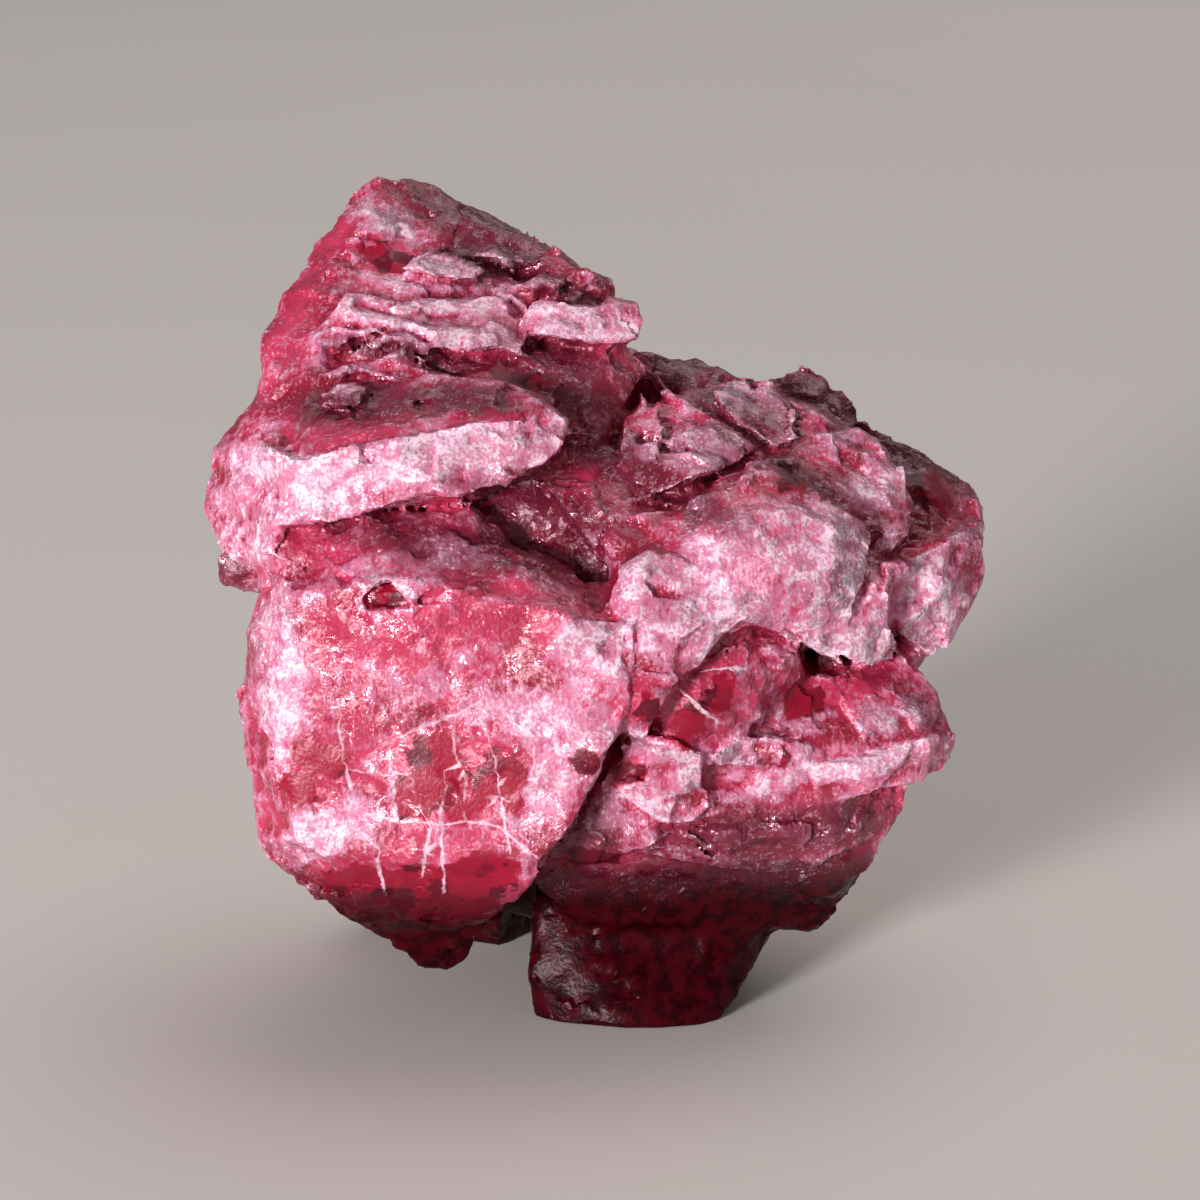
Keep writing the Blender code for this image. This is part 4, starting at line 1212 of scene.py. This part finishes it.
def spinel_finish(colours):
    """Frosted, cracked, clear red spinel."""
    finish = Finish("spinel_crystal")
    place = finish.place()
    patterns = crystal_patterns(finish, place)
    mottle, grain = patterns.mottle, patterns.grain
    marks = {name: finish.mark(name) for name in MARKS}
    # Thick frost lifts the painted shade a little.
    marks["painted_shade"] = marks["painted_shade"] * (1.0 - 0.25 * marks["frosted"])
    # Painted shade: the shaded spots, and the low sides of steps at half strength.
    shade = (marks["painted_shade"] + 0.5 * marks["lowered"]).clamped()
    height = finish.node("ShaderNodeSeparateXYZ", {}, {"Vector": place}, "Z")
    # Painted shade at the foot: full low down, fading out between the FOOT_TOP heights.
    low = 1.0 - height.rise(*FOOT_TOP)
    white = rgba(colours.white)

    frost = frost_share(marks, patterns, low)
    pink_share = frost.rise(0.15, 0.75)
    white_share = frost.rise(0.72, 1.25) * (0.3 + 0.7 * (mottle + grain).rise(0.92, 1.1))
    # Painted shade: the white frost is dimmed in the shaded places.
    white_share = white_share * (1.0 - 0.8 * marks["painted_shade"])
    threads = white_threads(marks, patterns, shade)
    # Painted shade: the frost in the shaded places is painted darker.
    frost_colour = finish.blend(0.8 * marks["painted_shade"], rgba(colours.frost), rgba(colours.painted_shade_frost))
    body = body_colour(finish, colours, marks, patterns, shade, low)
    colour = finish.blend(pink_share, body, frost_colour)
    colour = finish.blend(white_share.larger(0.85 * threads), colour, white)
    spark_places = (patterns.patch + 0.2 * marks["raised"] + 0.1 * marks["frosted"]).rise(0.42, 0.58)
    shiny_flake_and_painted_glint = patterns.flake.rise(0.82, 0.88) * spark_places * (0.3 + 0.7 * pink_share) * (1.0 - 0.3 * shade)
    # Painted glints: the shiny flakes are also painted whitish.
    colour = finish.blend(0.7 * shiny_flake_and_painted_glint, colour, white)
    wet = (mottle + 0.1 * marks["raised"]).rise(0.5, 0.6)

    bumps = 0.7 * grain + 1.2 * mottle
    strong, soft = (
        finish.node("ShaderNodeBump", {}, {"Strength": strength, "Distance": BUMP_HEIGHT, "Height": bumps})
        for strength in (0.45, 0.2)
    )
    normal = strong
    for pattern, lean in (
        (patterns.flakes, 0.12 + 0.5 * shiny_flake_and_painted_glint),
        (patterns.blocks, 0.4),
        (patterns.chips, 0.35),
    ):
        normal = finish.vector("ADD", normal, {1: finish.lean(pattern, lean)})
    normal = finish.vector("NORMALIZE", normal)

    sheen = {"Specular Tint": rgba(colours.sheen)}
    frosty = finish.shiny(colour, 0.42 - 0.18 * shiny_flake_and_painted_glint - 0.24 * wet, 0.6, normal, sheen)
    pane = finish.blend(patterns.block.rise(0.2, 0.8), rgba(colours.pane_shade), rgba(colours.pane))
    glassy = finish.shiny(pane, 0.25 + 0.2 * mottle, 0.08, soft, {"Transmission Weight": 0.3, **sheen})
    # The foot's painted shade: a near-black colour with little reflection.
    dark = finish.blend(mottle.rise(0.4, 0.6), rgba(colours.foot), rgba(colours.foot_high))
    shaded = finish.shiny(dark, 0.3, 0.06, soft, sheen)

    clear = (marks["clear"] + 0.6 * (mottle - 0.5) + 0.3 * (grain - 0.5)).rise(0.35, 0.7)
    see = (0.92 * clear * (1.0 - threads)).clamped()
    surface = finish.node("ShaderNodeMixShader", {}, {0: see, 1: frosty, 2: glassy})
    # The foot's painted shade takes over near the floor.
    surface = finish.node("ShaderNodeMixShader", {}, {0: low.clamped(), 1: surface, 2: shaded})
    absorption = {"Color": rgba(colours.depth_colour), "Density": colours.depth_density}
    volume = finish.node("ShaderNodeVolumeAbsorption", {}, absorption)
    finish.output({"Surface": surface, "Volume": volume})
    return finish.material


def floor_finish(colour):
    """Matt, pale card, a little uneven in tone."""
    finish = Finish("floor_card")
    tone = finish.noise(finish.place(), CARD_TONE_SIZE, 1.0)
    tone = finish.blend(tone, rgba(colour), rgba([0.94 * part for part in colour]))
    inputs = {"Base Color": tone, "Roughness": 0.9, "Specular IOR Level": 0.0}
    finish.output({"Surface": finish.node("ShaderNodeBsdfPrincipled", {}, inputs)})
    return finish.material


# --------------------------------------------------------------------------------------------------
# What a user may change


class CrystalShape(bpy.types.PropertyGroup):
    """How the crystal's surface is broken."""

    grid: FloatProperty(
        name="Mesh Fineness", description="Size of the smallest detail", default=0.000075, unit="LENGTH"
    )
    triangles: IntProperty(
        name="Triangles", description="Most triangles in the finished mesh", default=194000
    )
    lump_relief: FloatProperty(
        name="Crystal Heads", description="Height of the larger crystal heads",
        default=0.00014, unit="LENGTH",
    )
    small_relief: FloatProperty(
        name="Small Chips", description="Height of the small chips", default=0.00004, unit="LENGTH"
    )
    chip_relief: FloatProperty(
        name="Chips", description="Height of the chips", default=0.00009, unit="LENGTH"
    )
    ledge_relief: FloatProperty(
        name="Ledges", description="Height of the ledges", default=0.00014, unit="LENGTH"
    )
    step_relief: FloatProperty(
        name="Steps", description="Height of the drawn steps", default=0.0002, unit="LENGTH"
    )
    grain_relief: FloatProperty(
        name="Grains", description="Height of the frost's grains", default=0.000028, unit="LENGTH"
    )
    sharp_angle: FloatProperty(
        name="Sharp Edges", description="Edges that bend more than this stay sharp",
        default=0.35, subtype="ANGLE",
    )


class CrystalColours(bpy.types.PropertyGroup):
    """What the crystal looks like."""

    deep: FloatVectorProperty(
        name="Deep Red", description="The darkest red of the body",
        default=(0.32, 0.006, 0.03), subtype="COLOR",
    )
    body: FloatVectorProperty(
        name="Body", description="The body's own pink-red", default=(0.55, 0.03, 0.1), subtype="COLOR"
    )
    frost: FloatVectorProperty(
        name="Frost", description="Where the surface is frosted",
        default=(0.64, 0.185, 0.325), subtype="COLOR",
    )
    # This white is also painted on the shiny flakes as painted glints.
    white: FloatVectorProperty(
        name="White", description="Veins and the thickest frost",
        default=(0.9, 0.64, 0.78), subtype="COLOR",
    )
    # Painted shade: the dark maroon painted into the shaded places.
    painted_shade: FloatVectorProperty(
        name="Dusk", description="Deep and shaded places", default=(0.12, 0.005, 0.022), subtype="COLOR"
    )
    # Painted shade: the darker frost painted into the shaded places.
    painted_shade_frost: FloatVectorProperty(
        name="Dusk Frost", description="Frost over deep and shaded places",
        default=(0.21, 0.066, 0.105), subtype="COLOR",
    )
    # Painted shade: the foot is painted near black, with a lighter colour mottled in.
    foot: FloatVectorProperty(
        name="Foot", description="The dark crystal at the foot",
        default=(0.016, 0.0002, 0.0012), subtype="COLOR",
    )
    foot_high: FloatVectorProperty(
        name="Foot, Lighter", description="Lighter colour mottled into the foot",
        default=(0.045, 0.0006, 0.004), subtype="COLOR",
    )
    pane: FloatVectorProperty(
        name="Pane", description="Clear places", default=(0.43, 0.005, 0.033), subtype="COLOR"
    )
    pane_shade: FloatVectorProperty(
        name="Pane Shade", description="The darker clear places",
        default=(0.13, 0.0015, 0.012), subtype="COLOR",
    )
    sheen: FloatVectorProperty(
        name="Sheen", description="Tint of what the surface reflects",
        default=(1.0, 0.74, 0.84), subtype="COLOR",
    )
    depth_colour: FloatVectorProperty(
        name="Depth", description="What the body lets through", default=(0.93, 0.0, 0.35), subtype="COLOR"
    )
    depth_density: FloatProperty(
        name="Depth Strength", description="How soon light is lost, per metre", default=900.0
    )


class StageSettings(bpy.types.PropertyGroup):
    """The floor and the lights."""

    floor_size: FloatProperty(name="Floor", description="Width of the floor", default=2.4, unit="LENGTH")
    floor_colour: FloatVectorProperty(
        name="Floor Colour", description="Colour of the floor",
        default=(0.93, 0.89, 0.86), subtype="COLOR",
    )
    key_power: FloatProperty(
        name="Key Light", description="Power of the main light", default=1.24, unit="POWER"
    )
    fill_power: FloatProperty(
        name="Fill Light", description="Power of the soft light above", default=1.0, unit="POWER"
    )
    world: FloatVectorProperty(
        name="Surroundings", description="Light from all round",
        default=(0.16, 0.155, 0.155), subtype="COLOR",
    )


# --------------------------------------------------------------------------------------------------
# What is made

CRYSTAL_NAME = "spinel_crystal"

LENS_MM = 100.0
SENSOR_MM = 36.0
NEAREST_SEEN = 0.001

# The lights, in metres: where the key light stands from the crystal's middle, how far off, how wide, and its
# colour, and the same for the soft light above.
KEY_SIDE = Vector((-0.55, -0.88, 0.14))
KEY_DISTANCE = 0.32
KEY_SIZE = 0.06
KEY_COLOUR = (1.0, 0.97, 0.96)
SKY_PLACE = Vector((0.15, 0.25, 0.5))
SKY_SIZE = 0.5
SKY_COLOUR = (1.0, 0.94, 0.9)


class SPINEL_OT_grow_crystal(bpy.types.Operator):
    """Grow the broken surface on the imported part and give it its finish"""

    bl_idname = "spinel.grow_crystal"
    bl_label = "Grow Crystal"

    def execute(self, context):
        mesh = grow_surface(context.scene.spinel_shape)
        mesh.name = CRYSTAL_NAME
        mesh.materials.clear()
        mesh.materials.append(spinel_finish(context.scene.spinel_colours))
        crystal = bpy.data.objects.new(CRYSTAL_NAME, mesh)
        context.scene.collection.objects.link(crystal)
        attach(crystal, BODY)
        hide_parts(CAD_NODE)
        return {"FINISHED"}


def area_light(name, size, power, colour, place, target):
    """A square soft light that looks at a target. Places are in metres."""
    light = bpy.data.lights.new(name, "AREA")
    light.size = size
    light.energy = power
    light.color = colour
    lamp = bpy.data.objects.new(name, light)
    bpy.context.scene.collection.objects.link(lamp)
    lamp.location = place
    lamp.rotation_euler = (target - lamp.location).to_track_quat("-Z", "Y").to_euler()


def add_camera():
    """The eye that the sheet is drawn for."""
    camera = bpy.data.cameras.new("eye")
    camera.lens = LENS_MM
    camera.sensor_width = SENSOR_MM
    camera.clip_start = NEAREST_SEEN
    eye = bpy.data.objects.new("eye", camera)
    bpy.context.scene.collection.objects.link(eye)
    eye.location = (EYE * MM).tolist()
    eye.rotation_euler = (math.pi / 2 - LOOK_DOWN, 0.0, 0.0)
    bpy.context.scene.camera = eye


class SPINEL_OT_set_stage(bpy.types.Operator):
    """Lay the floor and set the lights and the camera"""

    bl_idname = "spinel.set_stage"
    bl_label = "Set Stage"

    def execute(self, context):
        stage = context.scene.spinel_stage
        half = stage.floor_size / 2
        mesh = bpy.data.meshes.new("floor")
        corners = [(-half, -half, 0.0), (half, -half, 0.0), (half, half, 0.0), (-half, half, 0.0)]
        mesh.from_pydata(corners, [], [(0, 1, 2, 3)])
        mesh.materials.append(floor_finish(stage.floor_colour))
        floor = bpy.data.objects.new("floor", mesh)
        context.scene.collection.objects.link(floor)

        middle = (Vector(CAD_BOX[0]) + Vector(CAD_BOX[1])) / 2
        key_place = middle + KEY_SIDE.normalized() * KEY_DISTANCE
        area_light("key", KEY_SIZE, stage.key_power, KEY_COLOUR, key_place, middle)
        area_light("sky", SKY_SIZE, stage.fill_power, SKY_COLOUR, middle + SKY_PLACE, middle)
        world = bpy.data.worlds.new("surroundings")
        world.use_nodes = True
        world.node_tree.nodes["Background"].inputs["Color"].default_value = rgba(stage.world)
        context.scene.world = world
        context.scene.view_settings.view_transform = "Standard"
        add_camera()
        return {"FINISHED"}


class SPINEL_PT_panel(bpy.types.Panel):
    """The crystal's settings, in the 3D view's sidebar"""

    bl_idname = "SPINEL_PT_panel"
    bl_label = "Rough Spinel Crystal"
    bl_space_type = "VIEW_3D"
    bl_region_type = "UI"
    bl_category = "Spinel"

    def draw(self, context):
        for title, settings in (
            ("Shape", context.scene.spinel_shape),
            ("Colours", context.scene.spinel_colours),
            ("Stage", context.scene.spinel_stage),
        ):
            box = self.layout.box()
            box.label(text=title)
            for name in settings.__annotations__:
                box.prop(settings, name)
        self.layout.operator(SPINEL_OT_grow_crystal.bl_idname)
        self.layout.operator(SPINEL_OT_set_stage.bl_idname)


CLASSES = (
    CrystalShape,
    CrystalColours,
    StageSettings,
    SPINEL_OT_grow_crystal,
    SPINEL_OT_set_stage,
    SPINEL_PT_panel,
)


def register():
    """Adds the classes and the scene's settings."""
    for cls in CLASSES:
        bpy.utils.register_class(cls)
    bpy.types.Scene.spinel_shape = PointerProperty(type=CrystalShape)
    bpy.types.Scene.spinel_colours = PointerProperty(type=CrystalColours)
    bpy.types.Scene.spinel_stage = PointerProperty(type=StageSettings)


def unregister():
    """Takes the settings and the classes away again."""
    del bpy.types.Scene.spinel_stage
    del bpy.types.Scene.spinel_colours
    del bpy.types.Scene.spinel_shape
    for cls in reversed(CLASSES):
        bpy.utils.unregister_class(cls)


def main():
    """Makes the crystal and its stage."""
    register()
    bpy.ops.spinel.grow_crystal()
    bpy.ops.spinel.set_stage()


if __name__ == "__main__":
    main()
